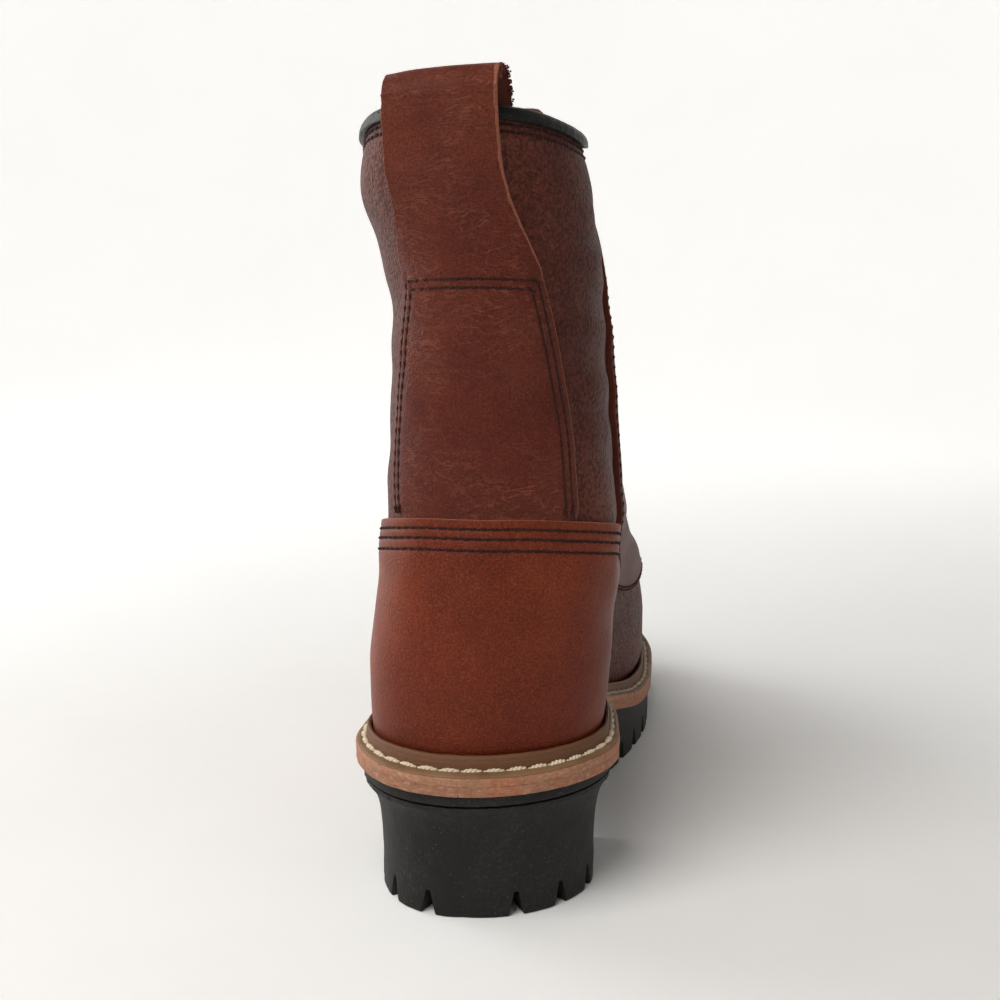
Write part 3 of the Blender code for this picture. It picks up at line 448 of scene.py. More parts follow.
    def ring_on_line(self, u: Array, line: Table) -> Array:
        """The ring numbers at which the columns u cross a side-view line z(y)."""
        v = np.linspace(0, self.collar, 240)
        points = self.point(np.asarray(u)[:, None], v[None, :])
        above = points[..., 2] - smooth(line, points[..., 1])
        return np.array([np.interp(0, row, v) for row in above])

    def sole_outline(self, q: Array, side: int, inset: Array | float = 0.0) -> Array:
        """Points (x, y) of the welt's outer edge at share q from heel to toe, moved in by inset."""
        q = np.asarray(q, float)

        def at(share: Array) -> Array:
            along, width = self.half_ring(
                share, self.sole_shares, self.sole_ends, self.sole_caps, self.sole_half_widths
            )
            y = self.sole_ends[0] + along
            return np.stack([side * width + smooth(self.swing, y) + self.skew(along), y], axis=-1)

        step = 1e-4
        tangent = unit(at(np.clip(q + step, 0, 1)) - at(np.clip(q - step, 0, 1)))
        inward = side * np.stack([-tangent[..., 1], tangent[..., 0]], axis=-1)
        return at(q) + np.asarray(inset)[..., None] * inward

    def spread_outline(self, q: Array, side: int, inset: float, spread: Table) -> Array:
        """The sole's outline moved in by inset, and out by what the spread table adds at each y."""
        return self.sole_outline(q, side, inset - smooth(spread, self.sole_outline(q, side)[..., 1]))

    def round_sole(self, count: int) -> tuple[Array, Array]:
        """The welt's outer loop (x, y) with count points a side, and each point's u."""
        q = np.linspace(0, 1, count + 1)
        medial = self.spread_outline(q[:-1], 1, 0.0, self.welt_spread)
        lateral = self.spread_outline(q[1:], -1, 0.0, self.welt_spread)[::-1]
        return np.concatenate([medial, lateral]), np.concatenate([q[:-1], -q[1:][::-1]])


def operator(operation: str, turned: bool = False) -> Callable[["Wire", Any], "Wire"]:
    """The method that works out a Math node's operation on a wire and another value."""

    def method(wire: "Wire", other: Any = 0.0) -> "Wire":
        """The result of the Math node."""
        pair = (other, wire) if turned else (wire, other)
        return wire.nodes.node("ShaderNodeMath", {"operation": operation}, dict(enumerate(pair)))

    return method


@dataclass
class Wire:
    """A node's output that adds its own Math nodes when it is used in an expression."""

    nodes: "Nodes"
    socket: bpy.types.NodeSocket

    __add__ = __radd__ = operator("ADD")
    __sub__ = operator("SUBTRACT")
    __rsub__ = operator("SUBTRACT", True)
    __mul__ = __rmul__ = operator("MULTIPLY")
    __pow__ = operator("POWER")
    __abs__ = operator("ABSOLUTE")
    least = operator("MINIMUM")
    most = operator("MAXIMUM")
    sine = operator("SINE")
    cosine = operator("COSINE")

    def between(self, low: float, high: float) -> "Wire":
        """0 below low, 1 above high, and a smooth step between them."""
        settings = {"interpolation_type": "SMOOTHSTEP"}
        return self.nodes.node("ShaderNodeMapRange", settings, {"Value": self, "From Min": low, "From Max": high})


class Nodes:
    """The builder of a node tree."""

    tree: bpy.types.NodeTree

    def node(
        self, kind: str, settings: Mapping[str, Any] | None = None, inputs: Mapping[Any, Any] | None = None,
        output: Any = 0,
    ) -> Wire:
        """Adds a node.

        Args:
            kind: The node's type.
            settings: Its own properties, which are set first.
            inputs: The values or wires of its sockets, or a list of wires for a socket that joins them.
            output: Which of its outputs is wanted.

        Returns:
            The wanted output.
        """
        made = self.tree.nodes.new(kind)
        for key, value in (settings or {}).items():
            setattr(made, key, value)
        for key, value in (inputs or {}).items():
            for one in value if isinstance(value, list) else [value]:
                self.feed(made.inputs[key], one)
        return Wire(self, made.outputs[output])

    def feed(self, socket: bpy.types.NodeSocket, value: Any) -> None:
        """Links a wire to a socket, or sets its value."""
        if isinstance(value, Wire):
            self.tree.links.new(value.socket, socket)
        else:
            socket.default_value = (*value, 1.0) if socket.type == "RGBA" else value


class Paint(Nodes):
    """The builder of one material's nodes."""

    def __init__(self, name: str, roughness: float, **constants: Any) -> None:
        """Starts a material.

        Args:
            name: The material's name.
            roughness: The roughness, where none is linked.
            constants: Principled sockets that are the same all over, by name with _ for a space.
        """
        self.material = bpy.data.materials.new(name)
        self.material.use_nodes = True
        self.tree = self.material.node_tree
        self.shader = self.tree.nodes["Principled BSDF"]
        for socket, value in {"Roughness": roughness, **constants}.items():
            self.shader.inputs[socket.replace("_", " ")].default_value = value
        self.place = self.node("ShaderNodeTexCoord", output="Object")

    def put(self, socket: str, value: Wire) -> None:
        """Feeds one of the Principled shader's varying sockets."""
        self.feed(self.shader.inputs[socket], value)

    def mapped(self, scale_z: float, at: Wire | None = None, turn: tuple = (0.0, 0.0, 0.0)) -> Wire:
        """The coordinates, turned, and then scaled along z."""
        inputs = {"Vector": at or self.place, "Rotation": turn, "Scale": (1.0, 1.0, scale_z)}
        return self.node("ShaderNodeMapping", None, inputs)

    def noise(self, scale: float, detail: float = 3.0, rough: float = 0.55, at: Wire | None = None,
              bend: float = 0.0) -> Wire:
        """A noise texture's level, from 0 to 1, with features of about 1/scale metres."""
        inputs = {"Vector": at or self.place, "Scale": scale, "Detail": detail, "Roughness": rough,
                  "Distortion": bend}
        return self.node("ShaderNodeTexNoise", None, inputs, "Fac")

    def cells(self, scale: float, at: Wire | None = None) -> Wire:
        """A Voronoi texture's distance, in cells of about 1/scale metres."""
        return self.node("ShaderNodeTexVoronoi", None, {"Vector": at or self.place, "Scale": scale}, "Distance")

    def mix(self, first: Any, second: Any, share: Any) -> Wire:
        """The colour between two colours."""
        settings = {"data_type": "RGBA", "clamp_factor": True}
        return self.node("ShaderNodeMix", settings, {0: share, 6: first, 7: second}, 2)

    def bend_place(self, scale: float, amount: float) -> Wire:
        """The object's coordinates pushed about by a noise, by up to amount metres."""
        push = self.node("ShaderNodeTexNoise", None, {"Vector": self.place, "Scale": scale}, "Color")
        centred = self.node("ShaderNodeVectorMath", {"operation": "SUBTRACT"}, {0: push, 1: (0.5, 0.5, 0.5)})
        scaled = self.node("ShaderNodeVectorMath", {"operation": "SCALE"}, {0: centred, "Scale": amount})
        return self.node("ShaderNodeVectorMath", {"operation": "ADD"}, {0: self.place, 1: scaled})

    def attribute(self, name: str) -> Wire:
        """A number that the mesh carries at its points."""
        return self.node("ShaderNodeAttribute", {"attribute_name": name}, None, "Fac")

    def coordinate(self, axis: int) -> Wire:
        """One of the object's coordinates, in metres: 0 for x, 1 for y, 2 for z."""
        return self.node("ShaderNodeSeparateXYZ", None, {0: self.place}, axis)

    def bump(self, height: Wire, distance: float, strength: float = 1.0, under: Wire | None = None) -> Wire:
        """A normal from a height, in metres of distance, over another normal."""
        inputs: dict[Any, Any] = {"Height": height, "Distance": distance, "Strength": strength}
        if under:
            inputs["Normal"] = under
        return self.node("ShaderNodeBump", None, inputs, "Normal")


class Grain(Enum):
    """How a leather's surface is broken up."""

    SMOOTH = 0
    PEBBLED = 1
    FLESH = 2


@dataclass(frozen=True)
class Leather:
    """An oiled leather, with its mottling, grain, fine wrinkles, pale specks and cut edge."""

    name: str
    base: Colour
    dark: Colour
    light: Colour
    cut: Colour
    grain: Grain
    roughness: float = 0.5
    wrinkles: float = 0.5
    mottling: float = 1.0
    pale: Colour = colour(150, 88, 66)

    def build(self) -> bpy.types.Material:
        """The material."""
        paint = Paint(
            self.name, self.roughness, Sheen_Weight=0.015, Sheen_Roughness=0.4,
            Sheen_Tint=(0.95, 0.72, 0.68, 1.0), Specular_IOR_Level=0.12,
        )
        clouds = paint.noise(24.0, 4.0, 0.6, bend=0.4)
        blotches = paint.noise(110.0, 5.0, 0.65, bend=0.6)
        fibres = paint.noise(1500.0, 3.0, 0.7)
        shade = paint.mix(self.base, self.dark, (1 - (clouds + 0.4 * (blotches - 0.5)).between(0.26, 0.60)) * 0.38)
        glow = (paint.noise(20.0, 2.0, 0.5) + 0.12 * (blotches - 0.5)).between(0.44, 0.72)
        shade = paint.mix(shade, self.light, glow * (0.42 * self.mottling))
        shade = paint.mix(shade, self.dark, (1 - fibres.between(0.38, 0.52)) * 0.5)
        shade = paint.mix(shade, self.light, fibres.between(0.52, 0.66) * 0.34)
        pores, relief = self.grain_height(paint)
        shade = paint.mix(shade, self.dark, pores * 0.6)
        lines = self.wrinkle_lines(paint)
        specks = (1 - paint.cells(620.0).between(0.04, 0.14)) * paint.noise(60.0).between(0.46, 0.60)
        scratches = self.scratch_lines(paint)
        pale = (specks * 0.45).most(scratches * 0.5)
        shade = paint.mix(shade, self.light, pale)
        shade = paint.mix(shade, self.pale, lines * (0.24 * self.wrinkles))
        edge = paint.attribute("edge")
        ragged = (edge + 0.30 * (paint.noise(700.0, 2.0) - 0.5)).between(0.42, 0.62)
        raw = paint.mix(self.cut, self.base, paint.noise(1300.0, 4.0, 0.7).between(0.42, 0.78) * 0.8)
        shade = paint.mix(shade, raw, ragged)
        paint.put("Base Color", shade)
        uneven = self.roughness + 0.20 * (blotches - 0.5) + 0.12 * (fibres - 0.5)
        paint.put("Roughness", uneven + 0.28 * ragged + 0.08 * pores)
        coarse = paint.bump(paint.noise(190.0, 3.0, 0.5), 0.0004, 0.35)
        grained = paint.bump(relief, 0.00034 if self.grain is Grain.PEBBLED else 0.00018, 0.9, coarse)
        creased = paint.bump(1 - lines, 0.00024, 0.7 * self.wrinkles, grained)
        fuzz = paint.bump(paint.noise(2600.0, 3.0, 0.7), 0.00006, 0.5, creased)
        paint.put("Normal", fuzz)
        return paint.material

    def grain_height(self, paint: Paint) -> tuple[Wire, Wire]:
        """How deep the pores are, and the grain's height."""
        place = paint.bend_place(420.0, 0.0012)
        if self.grain is Grain.PEBBLED:
            pebbles = paint.cells(760.0, place)
            small = paint.cells(1700.0, place)
            rim = pebbles.between(0.40, 0.72)
            return rim, 1 - (pebbles * pebbles * 1.2 + 0.35 * small * small)
        scale = 1500.0 if self.grain is Grain.SMOOTH else 2300.0
        small = paint.cells(scale, place)
        patch = paint.noise(120.0).between(0.35, 0.7)
        return small.between(0.62, 0.95) * patch * 0.6, 1 - small * small * (0.6 + 0.4 * patch)

    def wrinkle_lines(self, paint: Paint) -> Wire:
        """Fine wrinkles that run round the shaft, in patches, as 1 on a line and 0 off it."""
        across = paint.mapped(4.2, paint.bend_place(60.0, 0.012), (0.05, 0.12, 0.0))
        ridge = 1 - (abs(paint.noise(95.0, 3.0, 0.55, across) - 0.5) * 30.0).least(1.0)
        fine = 1 - (abs(paint.noise(230.0, 2.0, 0.5, across) - 0.5) * 18.0).least(1.0)
        patch = paint.noise(26.0, 2.0).between(0.44, 0.60)
        return (ridge * patch + fine * patch * 0.4).least(1.0)

    def scratch_lines(self, paint: Paint) -> Wire:
        """A few thin pale scratches."""
        turned = paint.mapped(26.0, None, (0.5, 0.6, 0.4))
        line = 1 - (abs(paint.noise(60.0, 1.0, 0.5, turned) - 0.5) * 60.0).least(1.0)
        return line * paint.noise(34.0, 2.0).between(0.66, 0.72)


@dataclass(frozen=True)
class Rubber:
    """Black moulded rubber with grinding marks, dust and a few scratches."""

    name: str = "matte_rubber"
    base: Colour = colour(19, 17, 16)
    grey: Colour = colour(36, 33, 31)
    dust: Colour = colour(122, 112, 102)

    def build(self) -> bpy.types.Material:
        """The material."""
        paint = Paint(self.name, 0.66, Specular_IOR_Level=0.28)
        clouds = paint.noise(40.0, 4.0, 0.6, bend=0.6)
        marks = paint.noise(900.0, 4.0, 0.7, paint.mapped(0.35))
        shade = paint.mix(self.base, self.grey, clouds.between(0.42, 0.8) * 0.45 + marks.between(0.5, 0.8) * 0.25)
        film = paint.noise(900.0, 5.0, 0.75).between(0.48, 0.72) * clouds.between(0.3, 0.7)
        specks = (1 - paint.cells(620.0).between(0.06, 0.18)) * paint.noise(120.0).between(0.46, 0.58)
        grit = (1 - paint.cells(170.0).between(0.02, 0.05)) * paint.noise(23.0).between(0.44, 0.56)
        dusty = (film * 0.16 + specks * 0.40 + grit * 0.65).least(1.0)
        paint.put("Base Color", paint.mix(shade, self.dust, dusty))
        paint.put("Roughness", 0.62 + 0.16 * (marks - 0.5) + 0.25 * dusty)
        ground = paint.bump(marks, 0.00025, 0.7)
        fine = paint.bump(paint.noise(1700.0, 4.0, 0.7), 0.00014, 0.8, ground)
        paint.put("Normal", paint.bump(specks.most(grit), 0.0002, 0.5, fine))
        return paint.material


@dataclass(frozen=True)
class WeltLeather:
    """The sole's tanned leather: an olive flange, a browner ridge and a reddish trimmed edge."""

    name: str
    flange: Colour = colour(134, 102, 70)
    ridge: Colour = colour(106, 68, 42)
    trimmed: Colour = colour(158, 112, 84)
    pale: Colour = colour(198, 160, 130)
    dark: Colour = colour(84, 50, 36)
    orange: Colour = colour(172, 98, 62)

    def build(self) -> bpy.types.Material:
        """The material. The mesh's part attribute is 0 on the flange, 1 on the ridge and 2 on the edge; its hollow
        attribute is painted shade on the top.
        """
        paint = Paint(self.name, 0.6, Specular_IOR_Level=0.35)
        part = paint.attribute("part")
        clouds = paint.noise(60.0, 4.0, 0.6, bend=0.5)
        fibres = paint.noise(900.0, 4.0, 0.7)
        layers = paint.noise(420.0, 5.0, 0.75, paint.mapped(2.2), 0.5)
        warm = paint.noise(24.0, 2.0).between(0.42, 0.62)
        top = paint.mix(self.flange, self.ridge, clouds.between(0.35, 0.7) * 0.7)
        top = paint.mix(top, self.ridge, part.between(0.4, 0.8))
        top = paint.mix(top, self.pale, fibres.between(0.56, 0.8) * 0.3)
        # Painted shade: the top darkens where the hollow attribute marks the stitch channel, the step on the ridge and
        # its foot against the upper.
        top = paint.mix(top, self.dark, paint.attribute("hollow") * 0.75)
        side = paint.mix(self.trimmed, self.orange, warm * 0.55)
        side = paint.mix(side, self.pale, layers.between(0.50, 0.66) * 0.6)
        side = paint.mix(side, self.dark, (1 - layers.between(0.34, 0.46)) * 0.4)
        side = paint.mix(side, self.dark, (1 - fibres.between(0.30, 0.46)) * 0.35)
        shade = paint.mix(top, side, part.between(1.4, 1.7))
        paint.put("Base Color", shade)
        paint.put("Roughness", 0.62 + 0.2 * (fibres - 0.5) + 0.1 * (clouds - 0.5))
        rough = paint.bump(layers, 0.0004, 0.6)
        paint.put("Normal", paint.bump(fibres, 0.00018, 0.9, rough))
        return paint.material


@dataclass(frozen=True)
class Thread:
    """Sewing thread, or a lace's yarn."""

    name: str
    base: Colour
    dark: Colour
    pale: Colour
    roughness: float = 0.72

    def build(self) -> bpy.types.Material:
        """The material. Where the mesh carries a groove shade attribute, it darkens the grooves of a braid with painted
        shade.
        """
        paint = Paint(self.name, self.roughness, Sheen_Weight=0.04, Sheen_Roughness=0.5, Specular_IOR_Level=0.15)
        yarn = paint.noise(2400.0, 3.0, 0.7)
        wear = paint.noise(90.0, 3.0)
        shade = paint.mix(self.base, self.dark, (1 - yarn.between(0.28, 0.55)) * 0.7)
        shade = paint.mix(shade, self.pale, wear.between(0.5, 0.75) * 0.45)
        # Painted shade in the grooves between a braid's strands.
        shade = paint.mix(shade, self.dark, paint.attribute("strand") * 0.75)
        paint.put("Base Color", shade)
        paint.put("Roughness", self.roughness + 0.15 * (yarn - 0.5))
        paint.put("Normal", paint.bump(yarn, 0.00012, 0.8))
        return paint.material


@dataclass(frozen=True)
class Plain:
    """A quiet finish with a little unevenness: metal, a needle's hole painted as shade, the floor, which glows as
    painted light.
    """

    name: str
    base: Colour
    other: Colour
    roughness: float
    metallic: float = 0.0
    scale: float = 300.0
    depth: float = 0.00004
    glow: float = 0.0

    def build(self) -> bpy.types.Material:
        """The material."""
        paint = Paint(self.name, self.roughness, Metallic=self.metallic, Emission_Strength=self.glow)
        # Painted light: the floor glows, brightest far behind the boot and fading out towards the camera and off to the
        # boot's right, which leaves that side of the boot in shade.
        if self.glow:
            far = paint.coordinate(1).between(0.1, 1.1)
            right = (paint.coordinate(0) - 0.26 * paint.coordinate(1)).between(0.22, 0.40)
            paint.put("Emission Color", paint.mix((0.0, 0.0, 0.0), (1.0, 0.99, 0.975), far * (1 - right)))
        clouds = paint.noise(self.scale, 4.0, 0.6)
        fine = paint.noise(self.scale * 6, 3.0, 0.6)
        paint.put("Base Color", paint.mix(self.base, self.other, (clouds * 0.7 + fine * 0.3).between(0.4, 0.65)))
        paint.put("Roughness", self.roughness + 0.12 * (clouds - 0.5))
        paint.put("Normal", paint.bump(fine, self.depth, 0.5))
        return paint.material


class Finish(Enum):
    """Every finish on the boot."""

    STRAP = Leather(
        "pull_up_strap", colour(88, 36, 25), colour(52, 22, 17), colour(122, 62, 44), colour(158, 98, 76),
        Grain.SMOOTH, 0.47, 1.3,
    )
    COUNTER = Leather(
        "pull_up_counter", colour(106, 43, 25), colour(66, 25, 16), colour(150, 74, 42), colour(156, 98, 74),
        Grain.SMOOTH, 0.44, 0.12,
    )
    QUARTER = Leather(
        "pull_up_quarter", colour(90, 38, 28), colour(58, 25, 19), colour(126, 66, 48), colour(84, 40, 30),
        Grain.SMOOTH, 0.47, 0.4,
    )
    SHAFT = Leather(
        "pebbled_shaft", colour(86, 39, 29), colour(50, 22, 18), colour(128, 74, 58), colour(130, 80, 62),
        Grain.PEBBLED, 0.50, 1.0,
    )
    ROLL = Leather(
        "charcoal_binding", colour(22, 23, 22), colour(13, 13, 13), colour(44, 47, 45), colour(34, 33, 30),
        Grain.SMOOTH, 0.38, 0.5, 0.5, colour(58, 62, 58),
    )
    LINING = Leather(
        "flesh_lining", colour(92, 66, 48), colour(66, 46, 34), colour(122, 92, 70), colour(122, 92, 70),
        Grain.FLESH, 0.82, 0.1,
    )
    FLESH = Leather(
        "strap_flesh", colour(84, 42, 34), colour(54, 27, 22), colour(112, 66, 52), colour(90, 48, 38),
        Grain.FLESH, 0.78, 0.4,
    )
    BOARD = Leather(
        "veg_board", colour(150, 112, 78), colour(116, 82, 56), colour(178, 140, 104),
        colour(178, 140, 104), Grain.SMOOTH, 0.6, 0.2,
    )
    WELT = WeltLeather("trimmed_welt")
    MIDSOLE = WeltLeather("trimmed_midsole", trimmed=colour(150, 104, 78), pale=colour(190, 150, 122))
    RUBBER = Rubber()
    DARK_THREAD = Thread("dark_thread", colour(52, 22, 17), colour(26, 11, 9), colour(76, 36, 28))
    CREAM_THREAD = Thread("cream_thread", colour(226, 212, 184), colour(158, 132, 100), colour(242, 234, 214))
    LACE = Thread("lace_yarn", colour(66, 36, 26), colour(24, 16, 14), colour(90, 54, 38))
    # Painted shade: near-black discs for the needle holes.
    HOLE_SHADE = Plain("needle_hole_shade", colour(16, 8, 7), colour(10, 6, 5), 0.9)
    BRASS = Plain("aged_brass", colour(150, 116, 76), colour(96, 72, 48), 0.34, 1.0, 420.0)
    # The floor's finish is near white and glows as painted light.
    FLOOR = Plain("studio_floor", colour(253, 252, 250), colour(250, 249, 247), 0.8, 0.0, 6.0, 0.0, 0.46)

    @property
    def material(self) -> bpy.types.Material:
        """The finish's material, built when it is first wanted."""
        return bpy.data.materials.get(self.value.name) or self.value.build()


def linked(name: str, data: Any) -> bpy.types.Object:
    """A new object of the scene with this mesh, light or camera."""
    made = bpy.data.objects.new(name, data)
    bpy.context.scene.collection.objects.link(made)
    return made


def emptied(bm: bmesh.types.BMesh, mesh: bpy.types.Mesh | None = None) -> bpy.types.Mesh:
    """The mesh, or a new one, with what the editing mesh holds, which is then freed."""
    mesh = mesh or bpy.data.meshes.new("shape")
    bm.to_mesh(mesh)
    bm.free()
    return mesh


def new_piece(
    name: str, mesh: bpy.types.Mesh, finishes: Sequence[Finish] = (), replaces: Sequence[str] = (),
    crease_angle: float = 50.0,
) -> bpy.types.Object:
    """Puts a finished mesh in the scene as a piece of the boot.

    Args:
        name: The piece's name.
        mesh: Its mesh, in metres, in place.
        finishes: The finishes of its material slots, unless it has them.
        replaces: The solids that it stands for.
        crease_angle: The angle in degrees past which an edge stays sharp.

    Returns:
        The piece.
    """
    mesh.name = name
    for finish in finishes:
        mesh.materials.append(finish.material)
    mesh.shade_smooth()
    mesh.set_sharp_from_angle(angle=math.radians(crease_angle))
    made = linked(name, mesh)
    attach(made, BODY)
    if replaces:
        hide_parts(*replaces)
    LOG.info("%s: %d faces", name, len(mesh.polygons))
    return made


def mesh_of(points: Array, faces: Array | list, numbers: Mapping[str, Array] | None = None,
            slots: Array | None = None) -> bpy.types.Mesh:
    """A mesh from points in millimetres.

    Args:
        points: The points, of which unused ones are dropped.
        faces: Each face's point numbers.
        numbers: Point attributes by name.
        slots: Each face's material slot.

    Returns:
        The mesh, in metres.
    """
    used, renumbered = np.unique(np.concatenate([np.ravel(f) for f in faces]) if isinstance(faces, list)
                                 else faces, return_inverse=True)
    if isinstance(faces, list):
        cuts = np.cumsum([len(f) for f in faces])[:-1]
        listed = [part.tolist() for part in np.split(renumbered.reshape(-1), cuts)]
    else:
        listed = renumbered.reshape(faces.shape).tolist()
    mesh = bpy.data.meshes.new("piece")
    mesh.from_pydata((points[used] * MM).tolist(), [], listed)
    for name, values in (numbers or {}).items():
        layer = mesh.attributes.new(name, "FLOAT", "POINT")
        layer.data.foreach_set("value", np.asarray(values, np.float32).reshape(-1)[used])
    if slots is not None:
        mesh.polygons.foreach_set("material_index", np.asarray(slots, np.int32))
    mesh.update()
    return mesh


def thick_sheet(
    outer: Array, inner: Array, keep: Array | None = None, joined_rows: int = 0,
    edge: Array | None = None, inner_slot: int = 0, inner_edge: float = 1.0,
) -> bpy.types.Mesh:
    """A closed sheet between two grids of points.

    Args:
        outer: Rows by columns of outer points, with the columns and rows rising as u and v do.
        inner: The inner points.
        keep: Which of the grid's cells there are.
        joined_rows: For so many first rows, the last column is the first one again.
        edge: How much of a cut edge each outer point is, from 0 to 1.
        inner_slot: The material slot of the inner faces.
        inner_edge: How much of a cut edge the inner points are.

    Returns:
        The mesh, in metres.
    """
    rows, columns = outer.shape[:2]
    count = rows * columns
    index = np.arange(count).reshape(rows, columns)
    index[:joined_rows, -1] = index[:joined_rows, 0]
    cells = np.stack([index[:-1, :-1], index[:-1, 1:], index[1:, 1:], index[1:, :-1]], axis=-1)
    cells = cells[np.ones((rows - 1, columns - 1), bool) if keep is None else keep]
    starts = cells.reshape(-1)
    ends = np.roll(cells, -1, axis=1).reshape(-1)
    forward = starts.astype(np.int64) * count + ends
    backward = ends.astype(np.int64) * count + starts
    bare = ~np.isin(forward, backward)
    rim = np.stack([ends[bare], starts[bare], starts[bare] + count, ends[bare] + count], axis=-1)
    faces = np.concatenate([cells, cells[:, ::-1] + count, rim])
    slots = np.concatenate([np.zeros(len(cells)), np.full(len(cells), inner_slot), np.zeros(len(rim))])
    flat_edge = np.zeros(count) if edge is None else np.asarray(edge, float).reshape(-1)
    numbers = {"edge": np.concatenate([flat_edge, np.full(count, inner_edge)])}
    points = np.concatenate([outer.reshape(-1, 3), inner.reshape(-1, 3)])
    return mesh_of(points, faces, numbers, slots)


def loft_mesh(loops: Array, numbers: Mapping[str, Array] | None = None, closed: bool = False) -> bpy.types.Mesh:
    """A solid through closed loops of equal length.

    Args:
        loops: Loops by points by three coordinates.
        numbers: Point attributes by name, each loops by points.
        closed: Whether the last loop joins the first again.

    Returns:
        The mesh, in metres, with its faces pointing out.
    """
    count, around = loops.shape[:2]
    index = np.arange(count * around).reshape(count, around)
    following = np.roll(index, -1, axis=1)
    ahead = np.roll(index, -1, axis=0)
    ahead_following = np.roll(following, -1, axis=0)
    walls = np.stack([index, following, ahead_following, ahead], axis=-1)
    walls = walls if closed else walls[:-1]
    faces: list = list(walls.reshape(-1, 4))
    if not closed:
        faces += [index[0][::-1], index[-1]]
    mesh = mesh_of(loops.reshape(-1, 3), faces, numbers)
    bm = bmesh.new()
    bm.from_mesh(mesh)
    bmesh.ops.recalc_face_normals(bm, faces=bm.faces)
    return emptied(bm, mesh)


def applied(mesh: bpy.types.Mesh, set_up: Callable[[bpy.types.Object], None]) -> bpy.types.Mesh:
    """The mesh with the modifiers that set_up adds worked into it."""
    carrier = linked("carrier", mesh)
    set_up(carrier)
    graph = bpy.context.evaluated_depsgraph_get()
    result = bpy.data.meshes.new_from_object(carrier.evaluated_get(graph))
    bpy.data.objects.remove(carrier)
    return result


@dataclass
class Chart:
    """A leather panel's place on the last: a grid of (u, v) over the unit square, even in length."""

    last: Last
    u: Array
    v: Array

    def __post_init__(self) -> None:
        """Evens out the grid and measures it."""
        for axis in (1, 0, 1):
            self.even_out(axis)
        points = self.last.point(self.u, self.v)
        self.widths = np.linalg.norm(np.diff(points, axis=1), axis=2).sum(axis=1)
        self.heights = np.linalg.norm(np.diff(points, axis=0), axis=2).sum(axis=0)

    def even_out(self, axis: int) -> None:
        """Spaces the grid's lines evenly along one axis."""
        points = self.last.point(self.u, self.v)
        steps = np.linalg.norm(np.diff(points, axis=axis), axis=2)
        u, v = (self.u, self.v) if axis == 1 else (self.u.T, self.v.T)
        steps = steps if axis == 1 else steps.T
        rows = []
        for u_row, v_row, lengths in zip(u, v, steps):
            travelled = np.concatenate([[0], np.cumsum(lengths)])
            wanted = np.linspace(0, travelled[-1], len(u_row))
            rows.append((np.interp(wanted, travelled, u_row), np.interp(wanted, travelled, v_row)))
        new_u, new_v = np.array([row[0] for row in rows]), np.array([row[1] for row in rows])
        self.u, self.v = (new_u, new_v) if axis == 1 else (new_u.T, new_v.T)

    def width(self, b: Array) -> Array:
        """The panel's width at height share b."""
        return np.interp(b, np.linspace(0, 1, len(self.widths)), self.widths)

    def height(self, a: Array) -> Array:
        """The panel's height at width share a."""
        return np.interp(a, np.linspace(0, 1, len(self.heights)), self.heights)

    def at(self, a: Array, b: Array) -> tuple[Array, Array]:
        """The (u, v) at width share a and height share b."""
        rows, columns = self.u.shape
        across, up = np.clip(a, 0, 1) * (columns - 1), np.clip(b, 0, 1) * (rows - 1)
        i, j = np.minimum(up.astype(int), rows - 2), np.minimum(across.astype(int), columns - 2)
        s, t = across - j, up - i
        found = []
        for grid in (self.u, self.v):
            low = grid[i, j] * (1 - s) + grid[i, j + 1] * s
            high = grid[i + 1, j] * (1 - s) + grid[i + 1, j + 1] * s
            found.append(low * (1 - t) + high * t)
        return found[0], found[1]


